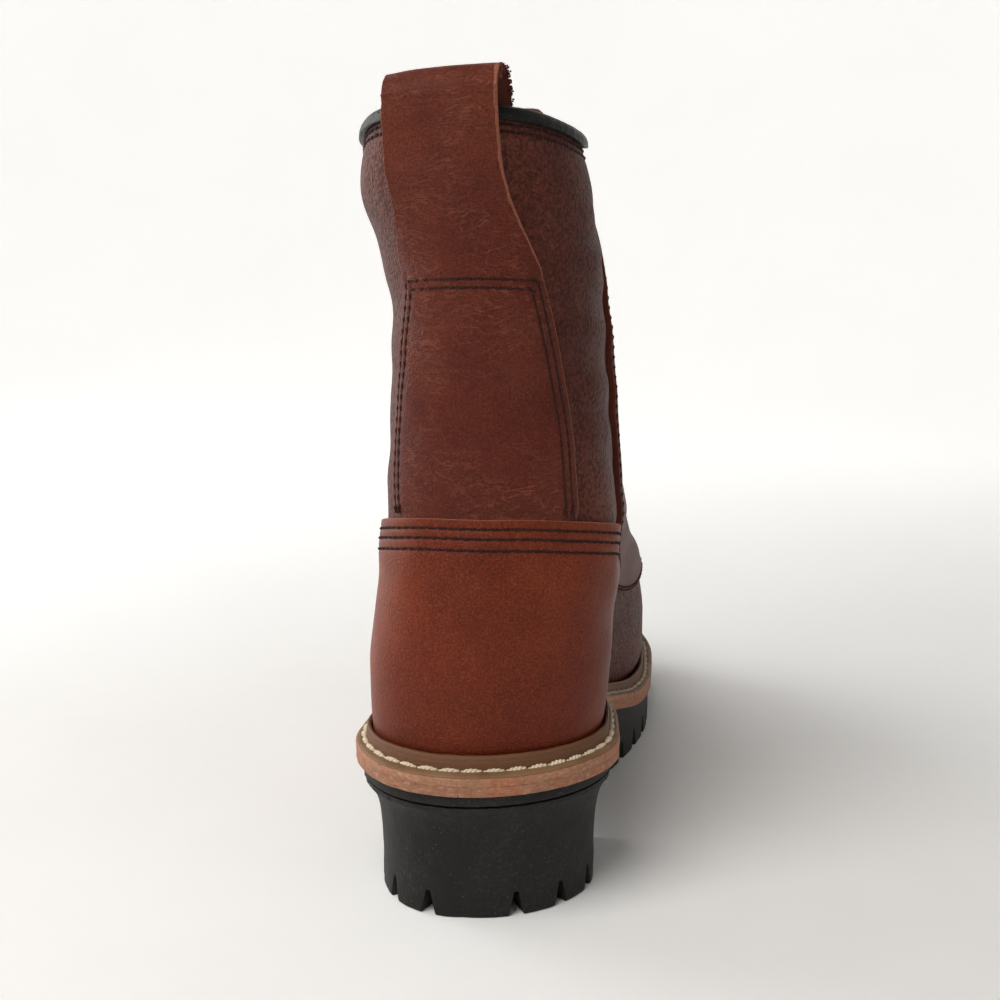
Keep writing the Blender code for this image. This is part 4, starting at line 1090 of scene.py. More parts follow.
@dataclass
class Panel:
    """A leather piece laid on the last, with rounded corners, cut edges and sewn troughs."""

    chart: Chart
    lift: float
    thickness: float
    spacing: float = 1.6
    edge_radius: float = 0.8
    corners: tuple[float, float, float, float] = (0.0, 0.0, 0.0, 0.0)
    seams: Mapping[str, Sequence[float]] = field(default_factory=dict)
    raw: Sequence[str] = ("left", "right", "low", "high")
    seam_depth: float = 0.3
    seam_width: float = 0.75
    foot_lift: float = 0.12
    pressed: Mapping[str, float] = field(default_factory=dict)

    def lines(self, length: float, near: str, far: str) -> tuple[Array, Array, Array]:
        """The grid lines between two opposite edges.

        Returns:
            Each line's distance from the near edge, from the far edge, and its share of what is between.
        """
        rims = []
        for name in (near, far):
            offsets = {0.0, 0.12, 0.35, 0.8, 1.5}
            for seam in self.seams.get(name, ()):
                offsets |= {round(seam + shift, 3) for shift in (-1.3, -0.7, -0.3, 0.0, 0.3, 0.7, 1.3)}
            rims.append(sorted(offset for offset in offsets if offset >= 0))
        low, high = rims
        inner = max(3, int((length - low[-1] - high[-1]) / self.spacing))
        shares = np.linspace(0, 1, inner + 2)[1:-1]
        near_mm = np.concatenate([low, np.full(inner, low[-1]), np.full(len(high), low[-1])])
        far_mm = np.concatenate([np.full(len(low), high[-1]), np.full(inner, high[-1]), high[::-1]])
        share = np.concatenate([np.full(len(low), -1.0), shares, np.full(len(high), 2.0)])
        return near_mm, far_mm, share

    @staticmethod
    def fraction(near_mm: Array, far_mm: Array, share: Array, length: Array) -> Array:
        """Each line's share of the whole length."""
        between = near_mm + share * (length - near_mm - far_mm)
        return np.where(share < 0, near_mm, np.where(share > 1, length - far_mm, between)) / length

    def grid(self) -> tuple[Array, Array]:
        """The panel's grid of (a, b) shares, before its corners are rounded."""
        width, height = float(np.mean(self.chart.widths)), float(np.mean(self.chart.heights))
        a_lines, b_lines = self.lines(width, "left", "right"), self.lines(height, "low", "high")
        a_plain = self.fraction(*a_lines, np.array(width))
        b_plain = self.fraction(*b_lines, np.array(height))
        widths = self.chart.width(b_plain)[:, None]
        heights = self.chart.height(a_plain)[None, :]
        a = self.fraction(*(line[None, :] for line in a_lines), widths)
        b = self.fraction(*(line[:, None] for line in b_lines), heights)
        return a, b

    def distances(self, a: Array, b: Array) -> dict[str, Array]:
        """The distance from each edge, in millimetres, at (a, b)."""
        width, height = self.chart.width(b), self.chart.height(a)
        return {"left": a * width, "right": (1 - a) * width, "low": b * height, "high": (1 - b) * height}

    def rounded(self, a: Array, b: Array) -> tuple[Array, Array]:
        """The shares (a, b) after the panel's corners are rounded."""
        away = self.distances(a, b)
        width, height = self.chart.width(b), self.chart.height(a)
        pairs = (("left", "low"), ("right", "low"), ("left", "high"), ("right", "high"))
        for radius, (side, end) in zip(self.corners, pairs):
            if radius <= 0:
                continue
            across = np.clip(radius - away[side], 0, None)
            up = np.clip(radius - away[end], 0, None)
            far = np.hypot(across, up)
            pull = np.where(far > 0, np.maximum(across, up) / np.maximum(far, 1e-9), 1.0)
            shift_a, shift_b = across * (1 - pull) / width, up * (1 - pull) / height
            a = a + (shift_a if side == "left" else -shift_a)
            b = b + (shift_b if end == "low" else -shift_b)
        return a, b

    def profile(self, away: Mapping[str, Array]) -> tuple[Array, Array]:
        """How far the outer face drops near the edges and seams, and how much of a cut edge it is."""
        edge = np.min([away[name] for name in self.raw], axis=0)
        gone = np.clip(self.edge_radius - edge, 0, self.edge_radius)
        drop = self.edge_radius - np.sqrt(np.maximum(self.edge_radius**2 - gone**2, 0))
        for name, press in self.pressed.items():
            drop = drop + press * np.exp(-((away[name] / 4.0) ** 2))
        for name, seams in self.seams.items():
            for seam in seams:
                others = [away[other] for other in self.seams if other != name]
                inside = np.min(others, axis=0) > seam - 1.0 if others else True
                drop = drop + np.where(
                    inside, self.seam_depth * np.exp(-(((away[name] - seam) / self.seam_width) ** 2)), 0
                )
        return drop, np.clip(1 - edge / 0.45, 0, 1)

    def mesh(self, keep_out: Sequence[tuple[float, float]] = (), hole: float = 0.0) -> bpy.types.Mesh:
        """The panel's mesh, open at round holes of this radius about the (u, v) places."""
        a, b = self.grid()
        away = self.distances(a, b)
        drop, edge = self.profile(away)
        u, v = self.chart.at(*self.rounded(a, b))
        if u[0, 0] > u[0, -1]:
            u, v, drop, edge = (grid[:, ::-1] for grid in (u, v, drop, edge))
        outer = self.chart.last.lifted(u, v, self.lift + self.thickness - drop)
        inner = self.chart.last.lifted(u, v, self.foot_lift + 0 * u)
        keep = cells_outside(self.chart.last, outer, keep_out, hole)
        return thick_sheet(outer, inner, keep, 0, edge)

    def seam(self, edges: Sequence[str], offset: float, trim: float = 0.0) -> tuple[Array, Array]:
        """The (u, v) line of a seam that keeps this far inside the named edges, in their order.

        Args:
            edges: Neighbouring edges, in the order in which the seam follows them.
            offset: The distance inside them.
            trim: How far short of the panel's other edges the seam's two ends stop.

        Returns:
            The line's u and v.
        """
        corner = {"left": 0.0, "right": 1.0, "low": 0.0, "high": 1.0}
        runs = []
        share = np.linspace(0, 1, 160)
        for name, before, after in zip(edges, (None, *edges), (*edges[1:], None)):
            upright = name in ("left", "right")
            along, across = self.chart.height, self.chart.width
            along, across = (along, across) if upright else (across, along)
            level = share * 0 + corner[name]
            start = corner.get(before, 0.0 if after in (None, "high" if upright else "right") else 1.0)
            stop = corner.get(after, 1.0 - start)
            heading = np.sign(stop - start)
            lead, tail = ((offset if end else trim) / along(level)[0] for end in (before, after))
            ends = sorted((start + heading * lead, stop - heading * tail))
            run = np.clip(start + (stop - start) * share, *ends)
            inside = level + (1 - 2 * corner[name]) * offset / across(run)
            runs.append((inside, run) if upright else (run, inside))
        return self.chart.at(*self.rounded(*np.concatenate(runs, axis=1)))

    def seam_line(self, edges: Sequence[str], offset: float, trim: float = 0.0) -> tuple[Array, Array]:
        """The points and the normals of such a seam, at the foot of its trough."""
        u, v = self.seam(edges, offset, trim)
        press = max(self.pressed.get(name, 0.0) for name in edges) * math.exp(-((offset / 4.0) ** 2))
        lift = self.lift + self.thickness - 0.8 * self.seam_depth - press
        return self.chart.last.lifted(u, v, lift), self.chart.last.normal(u, v)


def cells_outside(last: Last, points: Array, places: Sequence[tuple[float, float]], radius: float) -> Array:
    """Which cells of a grid of points lie further than radius from the surface places (u, v)."""
    middle = (points[:-1, :-1] + points[1:, :-1] + points[:-1, 1:] + points[1:, 1:]) / 4
    keep = np.ones(middle.shape[:2], bool)
    for u, v in places:
        axis = last.normal(np.array(u), np.array(v))
        apart = middle - last.point(np.array(u), np.array(v))
        apart = apart - (apart @ axis)[..., None] * axis
        near = np.linalg.norm(middle - last.point(np.array(u), np.array(v)), axis=-1) < 12
        keep &= ~((np.linalg.norm(apart, axis=-1) < radius) & near)
    return keep


@dataclass(frozen=True)
class Stitch:
    """One kind of stitch: its pitch, length and thread."""

    pitch: float
    length: float
    thread_radius: float
    arch: float
    twist: float
    segments: int = 6
    sides: int = 5
    hole_radius: float = 0.42


class StitchRows:
    """Rows of stitches on points that carry their heading and facing, made by Geometry Nodes."""

    def __init__(self, name: str, kind: Stitch, thread: Finish) -> None:
        """Keeps the rows' name, kind and thread."""
        self.name = name
        self.kind = kind
        self.thread = thread
        self.points: list[Array] = []
        self.headings: list[Array] = []
        self.facings: list[Array] = []

    def add(self, line: Array, facing: Array, closed: bool = False) -> None:
        """Adds one row.

        Args:
            line: The row's points on the leather.
            facing: The leather's normals there.
            closed: Whether the row is a loop.
        """
        steps = np.linalg.norm(np.diff(line, axis=0), axis=1)
        keep = np.concatenate([[True], steps > 1e-6])
        line, facing = line[keep], facing[keep]
        travelled = np.concatenate([[0], np.cumsum(np.linalg.norm(np.diff(line, axis=0), axis=1))])
        count = max(1, round(travelled[-1] / self.kind.pitch))
        middles = (np.arange(count) + 0.5) / count * travelled[-1]

        def along(values: Array, at: Array) -> Array:
            return np.stack([np.interp(at, travelled, values[:, k]) for k in range(3)], axis=-1)

        reach = self.kind.pitch / 2
        heading = unit(along(line, middles + reach) - along(line, middles - reach))
        self.points.append(along(line, middles))
        self.headings.append(heading)
        self.facings.append(unit(along(facing, middles)))

    def make(self, slot: str) -> bpy.types.Object:
        """The rows as one piece."""
        points, headings, facings = (np.concatenate(rows) for rows in (self.points, self.headings, self.facings))
        mesh = carrying(self.name, points, {"heading": headings, "facing": facings})
        kind = self.kind
        sizes = {
            "Stitch Length": kind.length * MM, "Thread Radius": kind.thread_radius * MM,
            "Arch": kind.arch * MM, "Turns": kind.twist, "Hole Radius": kind.hole_radius * MM,
            "Hole Gap": kind.pitch * MM,
        }
        tree = stitch_tree(f"{self.name}_nodes", kind, self.thread.material)
        made = applied(mesh, lambda carrier: add_nodes(carrier, tree, sizes))
        return new_piece(self.name, made)


def add_nodes(carrier: bpy.types.Object, tree: bpy.types.NodeTree, values: Mapping[str, float]) -> None:
    """Adds a Geometry Nodes modifier and sets its inputs by their identifiers."""
    modifier = carrier.modifiers.new("nodes", "NODES")
    modifier.node_group = tree
    for item in tree.interface.items_tree:
        if item.item_type == "SOCKET" and item.in_out == "INPUT" and item.name in values:
            modifier[item.identifier] = values[item.name]


class NodeTree(Nodes):
    """The builder of a Geometry Nodes tree."""

    def __init__(self, name: str, inputs: Mapping[str, float]) -> None:
        """Starts a tree with a geometry input and named numbers."""
        self.tree = bpy.data.node_groups.new(name, "GeometryNodeTree")
        self.tree.interface.new_socket("Geometry", in_out="INPUT", socket_type="NodeSocketGeometry")
        for label, value in inputs.items():
            made = self.tree.interface.new_socket(label, in_out="INPUT", socket_type="NodeSocketFloat")
            made.default_value = value
        self.tree.interface.new_socket("Geometry", in_out="OUTPUT", socket_type="NodeSocketGeometry")
        self.entry = self.tree.nodes.new("NodeGroupInput")

    def size(self, label: str) -> Wire:
        """One of the tree's inputs."""
        return Wire(self, self.entry.outputs[label])

    def vector(self, x: Any = 0.0, y: Any = 0.0, z: Any = 0.0) -> Wire:
        """A vector from three numbers."""
        return self.node("ShaderNodeCombineXYZ", None, {0: x, 1: y, 2: z})

    def named(self, label: str) -> Wire:
        """A vector that the points carry."""
        return self.node("GeometryNodeInputNamedAttribute", {"data_type": "FLOAT_VECTOR"}, {"Name": label})

    def chance(self, low: float, high: float, seed: int) -> Wire:
        """A random number for each point."""
        inputs = {2: low, 3: high, "Seed": seed}
        return self.node("FunctionNodeRandomValue", {"data_type": "FLOAT"}, inputs, 1)

    def coated(self, geometry: Wire, material: bpy.types.Material) -> Wire:
        """The geometry with a material."""
        return self.node("GeometryNodeSetMaterial", None, {"Geometry": geometry, "Material": material})

    def finish(self, piece: Wire, turn: Wire, spin: Wire, scale: Wire,
               material: bpy.types.Material | None = None) -> bpy.types.NodeTree:
        """Ends the tree with the piece on each point, made real.

        Args:
            piece: What stands on each point.
            turn: Its rotation.
            spin: The angle by which it is then turned about its own z.
            scale: Its size.
            material: Its material, unless it has one.

        Returns:
            The tree.
        """
        spun = self.node("FunctionNodeAxisAngleToRotation", None, {"Axis": (0, 0, 1), "Angle": spin})
        turned = self.node("FunctionNodeRotateRotation", {"rotation_space": "LOCAL"},
                           {"Rotation": turn, "Rotate By": spun})
        points = self.node("GeometryNodeMeshToPoints", None, {"Mesh": self.size("Geometry")})
        placed = self.node("GeometryNodeInstanceOnPoints", None, {
            "Points": points, "Instance": piece, "Rotation": turned, "Scale": scale})
        real = self.node("GeometryNodeRealizeInstances", None, {"Geometry": placed})
        real = self.coated(real, material) if material else real
        self.feed(self.tree.nodes.new("NodeGroupOutput").inputs[0], real)
        return self.tree


def stitch_tree(name: str, kind: Stitch, thread: bpy.types.Material) -> bpy.types.NodeTree:
    """The tree that lays a twisted two-ply stitch on each point, with a near-black disc of painted shade for its needle
    hole.

    Args:
        name: The tree's name.
        kind: The stitch, for its number of segments and sides.
        thread: The thread's material.

    Returns:
        The tree, with named inputs for the stitch's sizes.
    """
    tree = NodeTree(name, {
        "Stitch Length": 0.003, "Thread Radius": 0.0004, "Arch": 0.0004, "Turns": 1.5,
        "Hole Radius": 0.0004, "Hole Gap": 0.003,
    })
    half, radius = tree.size("Stitch Length") * 0.5, tree.size("Thread Radius")
    depth = radius * -1.1
    span = tree.node("GeometryNodeCurveQuadraticBezier", None, {
        "Resolution": kind.segments, "Start": tree.vector(half * -1.0, 0.0, depth),
        "Middle": tree.vector(0.0, 0.0, tree.size("Arch") * 2.0), "End": tree.vector(half, 0.0, depth),
    })
    travelled = tree.node("GeometryNodeSplineParameter", None, None, "Factor")
    plies = []
    for phase in (0.0, math.pi):
        angle = travelled * (tree.size("Turns") * (2 * math.pi)) + phase
        apart = radius * 0.72
        shift = tree.vector(0.0, angle.sine() * apart, angle.cosine() * apart)
        plies.append(tree.node("GeometryNodeSetPosition", None, {"Geometry": span, "Offset": shift}))
    both = tree.node("GeometryNodeJoinGeometry", None, {0: plies})
    taper = 0.8 + (1.0 - abs(travelled * 2.0 - 1.0)) ** 0.5 * 0.2
    section = tree.node("GeometryNodeCurvePrimitiveCircle", None, {"Resolution": kind.sides, "Radius": radius})
    inputs = {"Curve": both, "Profile Curve": section, "Scale": taper, "Fill Caps": True}
    yarn = tree.coated(tree.node("GeometryNodeCurveToMesh", None, inputs), thread)
    # Painted shade: a flat near-black disc stands for the dark inside of the needle hole after each stitch.
    disc = tree.node("GeometryNodeMeshCircle", {"fill_type": "NGON"},
                     {"Vertices": 7, "Radius": tree.size("Hole Radius")})
    disc = tree.node("GeometryNodeTransform", None, {
        "Geometry": disc, "Translation": tree.vector(tree.size("Hole Gap") * 0.5, 0.0, 0.00004),
        "Scale": (1.35, 0.95, 1.0),
    })
    disc = tree.coated(disc, Finish.HOLE_SHADE.material)
    turned = tree.node("FunctionNodeAlignRotationToVector", {"axis": "X"}, {"Vector": tree.named("heading")})
    turned = tree.node("FunctionNodeAlignRotationToVector", {"axis": "Z", "pivot_axis": "X"},
                       {"Rotation": turned, "Vector": tree.named("facing")})
    grown = tree.chance(0.93, 1.07, 4)
    sewn = tree.node("GeometryNodeJoinGeometry", None, {0: [yarn, disc]})
    return tree.finish(sewn, turned, tree.chance(-0.07, 0.07, 11), tree.vector(1.0, grown, grown))


def carrying(name: str, points: Array, vectors: Mapping[str, Array]) -> bpy.types.Mesh:
    """A mesh of loose points in millimetres that carry vectors."""
    mesh = bpy.data.meshes.new(name)
    mesh.from_pydata((points * MM).tolist(), [], [])
    for label, rows in vectors.items():
        layer = mesh.attributes.new(label, "FLOAT_VECTOR", "POINT")
        layer.data.foreach_set("vector", np.asarray(rows, np.float32).reshape(-1))
    return mesh


def scattered(name: str, shape: bpy.types.Mesh, finish: Finish, points: Array, facing: Array) -> bpy.types.Mesh:
    """A copy of a small shape on each point, along its facing, by Geometry Nodes.

    Args:
        name: The piece's name.
        shape: The shape, in metres.
        finish: Its finish.
        points: Where the copies stand, in millimetres.
        facing: Which way each one points.

    Returns:
        The mesh of all the copies.
    """
    shape.materials.append(finish.material)
    model = linked(f"{name}_model", shape)
    tree = NodeTree(f"{name}_nodes", {"Size": 1.0})
    copied = tree.node("GeometryNodeObjectInfo", {"transform_space": "ORIGINAL"}, {"Object": model}, "Geometry")
    turned = tree.node("FunctionNodeAlignRotationToVector", {"axis": "Z"}, {"Vector": tree.named("facing")})
    scale = tree.vector(*[tree.size("Size")] * 3)
    made_tree = tree.finish(copied, turned, tree.chance(0.0, 6.28, 7), scale, finish.material)
    cloud = carrying(name, points, {"facing": facing})
    made = applied(cloud, lambda carrier: add_nodes(carrier, made_tree, {"Size": 1.0}))
    bpy.data.objects.remove(model)
    return made


@dataclass(frozen=True)
class Crumbs:
    """Loose fibres and crumbs that cling to a rough edge."""

    name: str
    slot: str
    size: float
    flatness: float
    seed: int

    def build(self, finish: Finish, points: Array, facing: Array, count: int, spread: float) -> bpy.types.Object:
        """Scatters crumbs about a line.

        Args:
            finish: Their finish.
            points: The line's points.
            facing: The way out of the edge at each point.
            count: How many there are.
            spread: How far from the line they lie, in millimetres.

        Returns:
            The crumbs as one piece.
        """
        dice = np.random.default_rng(self.seed)
        at = dice.uniform(0, len(points) - 1, count)
        index = np.arange(len(points))
        place, out = (
            np.stack([np.interp(at, index, values[:, k]) for k in range(3)], axis=-1) for values in (points, facing)
        )
        place = place + dice.normal(size=(count, 3)) * spread
        out = unit(out + dice.normal(size=(count, 3)) * 0.7)
        bm = bmesh.new()
        bmesh.ops.create_icosphere(bm, subdivisions=1, radius=self.size * MM)
        for vert in bm.verts:
            bump = 1 + 0.35 * math.sin(9 * vert.co.x / (self.size * MM) + 5 * vert.co.y / (self.size * MM))
            vert.co = Vector((vert.co.x * self.flatness, vert.co.y * self.flatness, vert.co.z)) * bump
        return new_piece(self.name, scattered(self.name, emptied(bm), finish, place, out))


@dataclass
class Upper:
    """The vamp and shaft: one hollow leather shell with its lining, open at the throat and the collar."""

    last: Last
    wall: float = 2.8
    rows: int = 169
    side_columns: int = 112
    front_columns: int = 8
    collar_rows: tuple[float, ...] = (11.93, 11.78)

    def build(self, holes: Sequence[tuple[float, float]]) -> bpy.types.Object:
        """The shell, open at the eyelets' places (u, v)."""
        v = np.linspace(0, self.last.collar, self.rows)
        edge = self.last.throat_share(v)
        side = np.linspace(0, 1, self.side_columns)
        middle = np.linspace(0, 1, self.front_columns + 1)[1:]
        half = np.concatenate(
            [side[None, :] * edge[:, None], edge[:, None] + (1 - edge[:, None]) * middle[None, :]], axis=1
        )
        u = np.concatenate([-half[:, :0:-1], half], axis=1)
        v = np.broadcast_to(v[:, None], u.shape)
        throat_row = int(round(self.last.throat_foot / self.last.collar * (self.rows - 1)))
        stitched = sum(np.exp(-(((v - row) * 14.5 / 0.8) ** 2)) for row in self.collar_rows)
        stitched = stitched * (np.abs(u) < 0.72)
        outer = self.last.lifted(u, v, -0.3 * stitched)
        inner = self.last.lifted(u, v, -self.wall + 0 * u)
        keep = cells_outside(self.last, outer, holes, 3.0)
        keep[throat_row:, : self.front_columns] = False
        keep[throat_row:, -self.front_columns:] = False
        mesh = thick_sheet(outer, inner, keep, throat_row + 1, None, 1, 0.0)
        return new_piece("upper_shell", mesh, (Finish.SHAFT, Finish.LINING), ("upper",))

    def stitch(self, rows: StitchRows) -> None:
        """Adds the two rows under the collar."""
        for ring in self.collar_rows:
            u = np.linspace(-0.72, 0.72, 240)
            v = np.full_like(u, ring)
            rows.add(self.last.lifted(u, v, -0.22), self.last.normal(u, v))


@dataclass
class Counter:
    """The smooth piece that wraps the heel, with rounded front corners and three rows of stitches."""

    last: Last
    band_line: Table
    lift: float = 1.15
    thickness: float = 1.6
    front_low: float = 76.0
    front_high: float = 84.0
    low_ring: float = 0.03
    corner: float = 12.0
    rows: tuple[float, ...] = (3.0, 6.0, 9.5)

    def chart(self) -> Chart:
        """The counter's place on the last."""
        u_line = np.linspace(-0.75, 0.75, 181)
        top_line = self.last.ring_on_line(u_line, self.band_line)
        u_rows, v_rows = [], []
        for b in np.linspace(0, 1, 34):
            y = np.array([self.front_low + (self.front_high - self.front_low) * b])
            top = np.interp(self.last.shares_in(np.array([3.0]), y, 1), u_line, top_line)
            edge = self.last.shares_in(self.low_ring + (top - self.low_ring) * b, y, 1)
            u = edge * np.linspace(-1, 1, 141)
            u_rows.append(u)
            v_rows.append(self.low_ring + (np.interp(u, u_line, top_line) - self.low_ring) * b)
        return Chart(self.last, np.array(u_rows), np.array(v_rows))

    def panel(self) -> Panel:
        """The panel with its seams."""
        return Panel(
            self.chart(), self.lift, self.thickness, corners=(0.0, 0.0, self.corner, self.corner),
            seams={"high": self.rows, "left": self.rows, "right": self.rows}, raw=("left", "right", "high"),
            edge_radius=0.6, pressed={"left": 0.55, "right": 0.55, "high": 0.55},
        )

    def build(self, rows: StitchRows) -> bpy.types.Object:
        """The counter, and its stitches added to rows."""
        panel = self.panel()
        for offset in self.rows:
            rows.add(*panel.seam_line(("left", "high", "right"), offset, 9.0))
        return new_piece("heel_counter", panel.mesh(), (Finish.COUNTER,), ("counter",))


@dataclass
class Quarters:
    """The two laced panels, from the stitched band up to the collar."""

    last: Last
    band_line: Table
    rear: Table
    foot_share: float = 0.42
    clear: float = 0.12
    lift: float = 1.15
    thickness: float = 1.6
    facing_back: float = 0.004
    top_short: float = 0.35

    def chart(self, side: int) -> Chart:
        """One quarter's place on the last, from its rear edge to its facing."""
        last = self.last
        throat = float(last.throat_share(last.throat_foot)) - self.facing_back
        top = last.collar - self.top_short
        foot_u = np.linspace(self.foot_share, throat, 25)
        foot_v = last.ring_on_line(foot_u, self.band_line) + self.clear
        u_rows, v_rows = [], []
        for b in np.linspace(0, 1, 44):
            v = foot_v + (top - foot_v) * b
            heights = last.point(foot_u * 0.6, v)[:, 2]
            rear_u = last.shares_in(v, smooth(self.rear, heights), 1)
            facing_u = np.where(v > last.throat_foot, last.throat_share(v) - self.facing_back, throat)
            a = np.linspace(0, 1, len(foot_u))
            u_rows.append(side * (foot_u * (1 - b) + (rear_u + (facing_u - rear_u) * a) * b))
            v_rows.append(v)
        return Chart(last, np.array(u_rows), np.array(v_rows))

    def build(self, rows: StitchRows, holes: Sequence[tuple[float, float]]) -> list[bpy.types.Object]:
        """Both quarters, and their stitches added to rows."""
        made = []
        for side, name in ((1, "medial"), (-1, "lateral")):
            panel = Panel(
                self.chart(side), self.lift, self.thickness, corners=(7.0, 2.5, 2.0, 2.5),
                seams={"left": (2.4, 4.9), "right": (2.4, 19.5), "low": (2.4, 4.9), "high": (2.2,)},
                pressed={"left": 0.6, "low": 0.6, "high": 0.6, "right": 0.6},
            )
            for offset in (2.4, 4.9):
                rows.add(*panel.seam_line(("high", "left", "low"), offset, 3.0))
            for offset in (2.4, 19.5):
                rows.add(*panel.seam_line(("right",), offset, 3.0))
            sided = [place for place in holes if place[0] * side > 0]
            mesh = panel.mesh(sided, 3.0)
            made.append(new_piece(
                f"quarter_panel_{name}", mesh, (Finish.QUARTER,), (f"quarter_{name}",)
            ))
        return made


@dataclass
class PullStrap:
    """The backstay: sewn up the shaft, then free, folded over the collar's top and down inside."""

    last: Last
    band_line: Table
    foot_z: float = 127.0
    sewn_z: float = 199.0
    half_widths: Table = ((126, 29.5), (150, 28.5), (175, 25.5), (197, 21.6), (222, 16.8), (262, 15.6))
    outer_y: float = -38.2
    fold_radius: float = 7.8
    top_z: float = 259.6
    tilt: float = 0.09
    inner_z: float = 214.0
    inner_bow: float = 1.95
    lift: float = 1.15
    thickness: float = 2.2
    edge_radius: float = 0.5
    press: float = 1.0
    side_seams: tuple[float, ...] = (2.6, 5.0)
    cross_seams: tuple[float, ...] = (197.8, 195.3)
    wrinkles: tuple[tuple[float, float, float, float], ...] = (
        # Height above the floor, slope, width and depth of each wrinkle across the free strap
        (249.0, 0.10, 1.6, 0.30), (245.5, -0.04, 1.2, 0.22), (241.0, 0.06, 1.5, 0.34),
        (237.5, -0.02, 1.1, 0.20), (233.0, 0.05, 1.4, 0.30), (228.5, 0.09, 1.2, 0.20),
        (221.0, -0.05, 2.2, 0.25), (212.0, 0.06, 2.6, 0.22),
    )

    foot_table: tuple[Array, Array] = field(init=False)
    share_table: tuple[Array, Array] = field(init=False)

    def __post_init__(self) -> None:
        """Measures the counter's top line and the last's girth behind the strap."""
        u = np.linspace(-0.4, 0.4, 81)
        self.foot_table = u, self.last.ring_on_line(u, self.band_line)
        z = np.linspace(120, self.last.rings[-1][1], 64)
        halves = smooth(self.half_widths, z)
        self.share_table = z, self.last.shares_in(self.last.ring_at_height(z), halves, 0, 0.5)

    def sewn(self, b: Array, across: Array) -> tuple[Array, Array]:
        """The (u, v) of the sewn part at share b of its height and across it, from -1 to 1."""
        top = self.last.ring_at_height(self.sewn_z)
        z = self.foot_z + (self.sewn_z - self.foot_z) * b
        u = across * np.interp(z, *self.share_table)
        foot = np.interp(u, *self.foot_table)
        return u, foot + (top - foot) * b

    def path(self, start_y: float, start_z: float) -> list[tuple[float, float, float]]:
        """The free strap's outer face from the last seam: y, z and how far it has turned over the top."""
        centre_z = self.top_z - self.fold_radius - self.thickness
        centre_y = self.outer_y + self.fold_radius
        path = []
        for share in np.linspace(0, 1, 34)[1:-1]:
            ease = share * share * (3 - 2 * share)
            path.append((start_y + (self.outer_y - start_y) * ease, start_z + (centre_z - start_z) * share, 0.0))
        for turned in np.linspace(0, 1, 27):
            angle = math.pi * turned
            path.append((
                centre_y - self.fold_radius * math.cos(angle), centre_z + self.fold_radius * math.sin(angle), turned
            ))
        for share in np.linspace(0, 1, 16)[1:]:
            path.append((centre_y + self.fold_radius + share, centre_z + (self.inner_z - centre_z) * share, 1.0))
        return path

    def free(self, path: Array, start_z: float, across: Array) -> Array:
        """The outer points of the free part.

        Args:
            path: Rows of y, z and turn.
            start_z: The height of the last seam.
            across: Each row's places across, from -1 to 1.

        Returns:
            Rows of points.
        """
        y, z, turned = (column[:, None] for column in path.T)
        v = self.last.ring_at_height(np.minimum(z, self.last.rings[-1][1]))
        width_z = np.where(turned > 0, self.top_z, z)
        halves = smooth(self.half_widths, width_z)
        share = self.last.shares_in(v[:, 0], halves[:, 0], 0, 0.5)[:, None]
        u = across * share
        v = np.broadcast_to(v, u.shape)
        base = self.last.point(u, v) + (self.lift + self.thickness) * self.last.normal(u, v)
        middle = base[:, base.shape[1] // 2, :][:, None, :]
        rise = np.where(turned > 0, 1.0, np.minimum(1.0, (z - start_z) / (self.top_z - start_z)))
        curl = (1 - 0.7 * rise) * (1 - turned) + self.inner_bow * turned
        bow = base[..., 1] - middle[..., 1]
        tilt = self.tilt * rise * (base[..., 0] - middle[..., 0])
        return np.stack([base[..., 0], y + bow * curl, z + tilt], axis=-1)

    def across(self, half: float) -> tuple[Array, Array]:
        """The row's places from -1 to 1, crowded at its edges and side seams, and their distance in."""
        offsets = sorted({0.0, 0.15, 0.4, 0.8, 1.1, 1.35}.union(
            round(seam + shift, 2) for seam in self.side_seams for shift in (-0.9, -0.4, 0.0, 0.4, 0.9)
        ))
        inner = np.linspace(offsets[-1], 2 * half - offsets[-1], 33)[1:-1]
        mm = np.concatenate([offsets, inner, 2 * half - np.array(offsets[::-1])])
        return mm / half - 1, np.minimum(mm, 2 * half - mm)

    def wrinkle(self, points: Array, free: Array) -> Array:
        """How far the free strap's wrinkles lift its points."""
        rise = 0.16 * ripple(points, 22.0, 3) * free
        for number, (height, slope, width, depth) in enumerate(self.wrinkles):
            wave = 0.9 * np.sin(points[..., 0] / 5.0 + number * 1.7)
            away = points[..., 2] - height - slope * points[..., 0] - wave
            broken = np.clip(0.75 + 0.6 * np.sin(points[..., 0] / 7.5 + number * 2.3), 0, 1)
            rise = rise - depth * broken * free * np.exp(-((away / width) ** 2))
            rise = rise + 0.5 * depth * broken * free * np.exp(-(((away - 1.9 * width) / width) ** 2))
        return rise

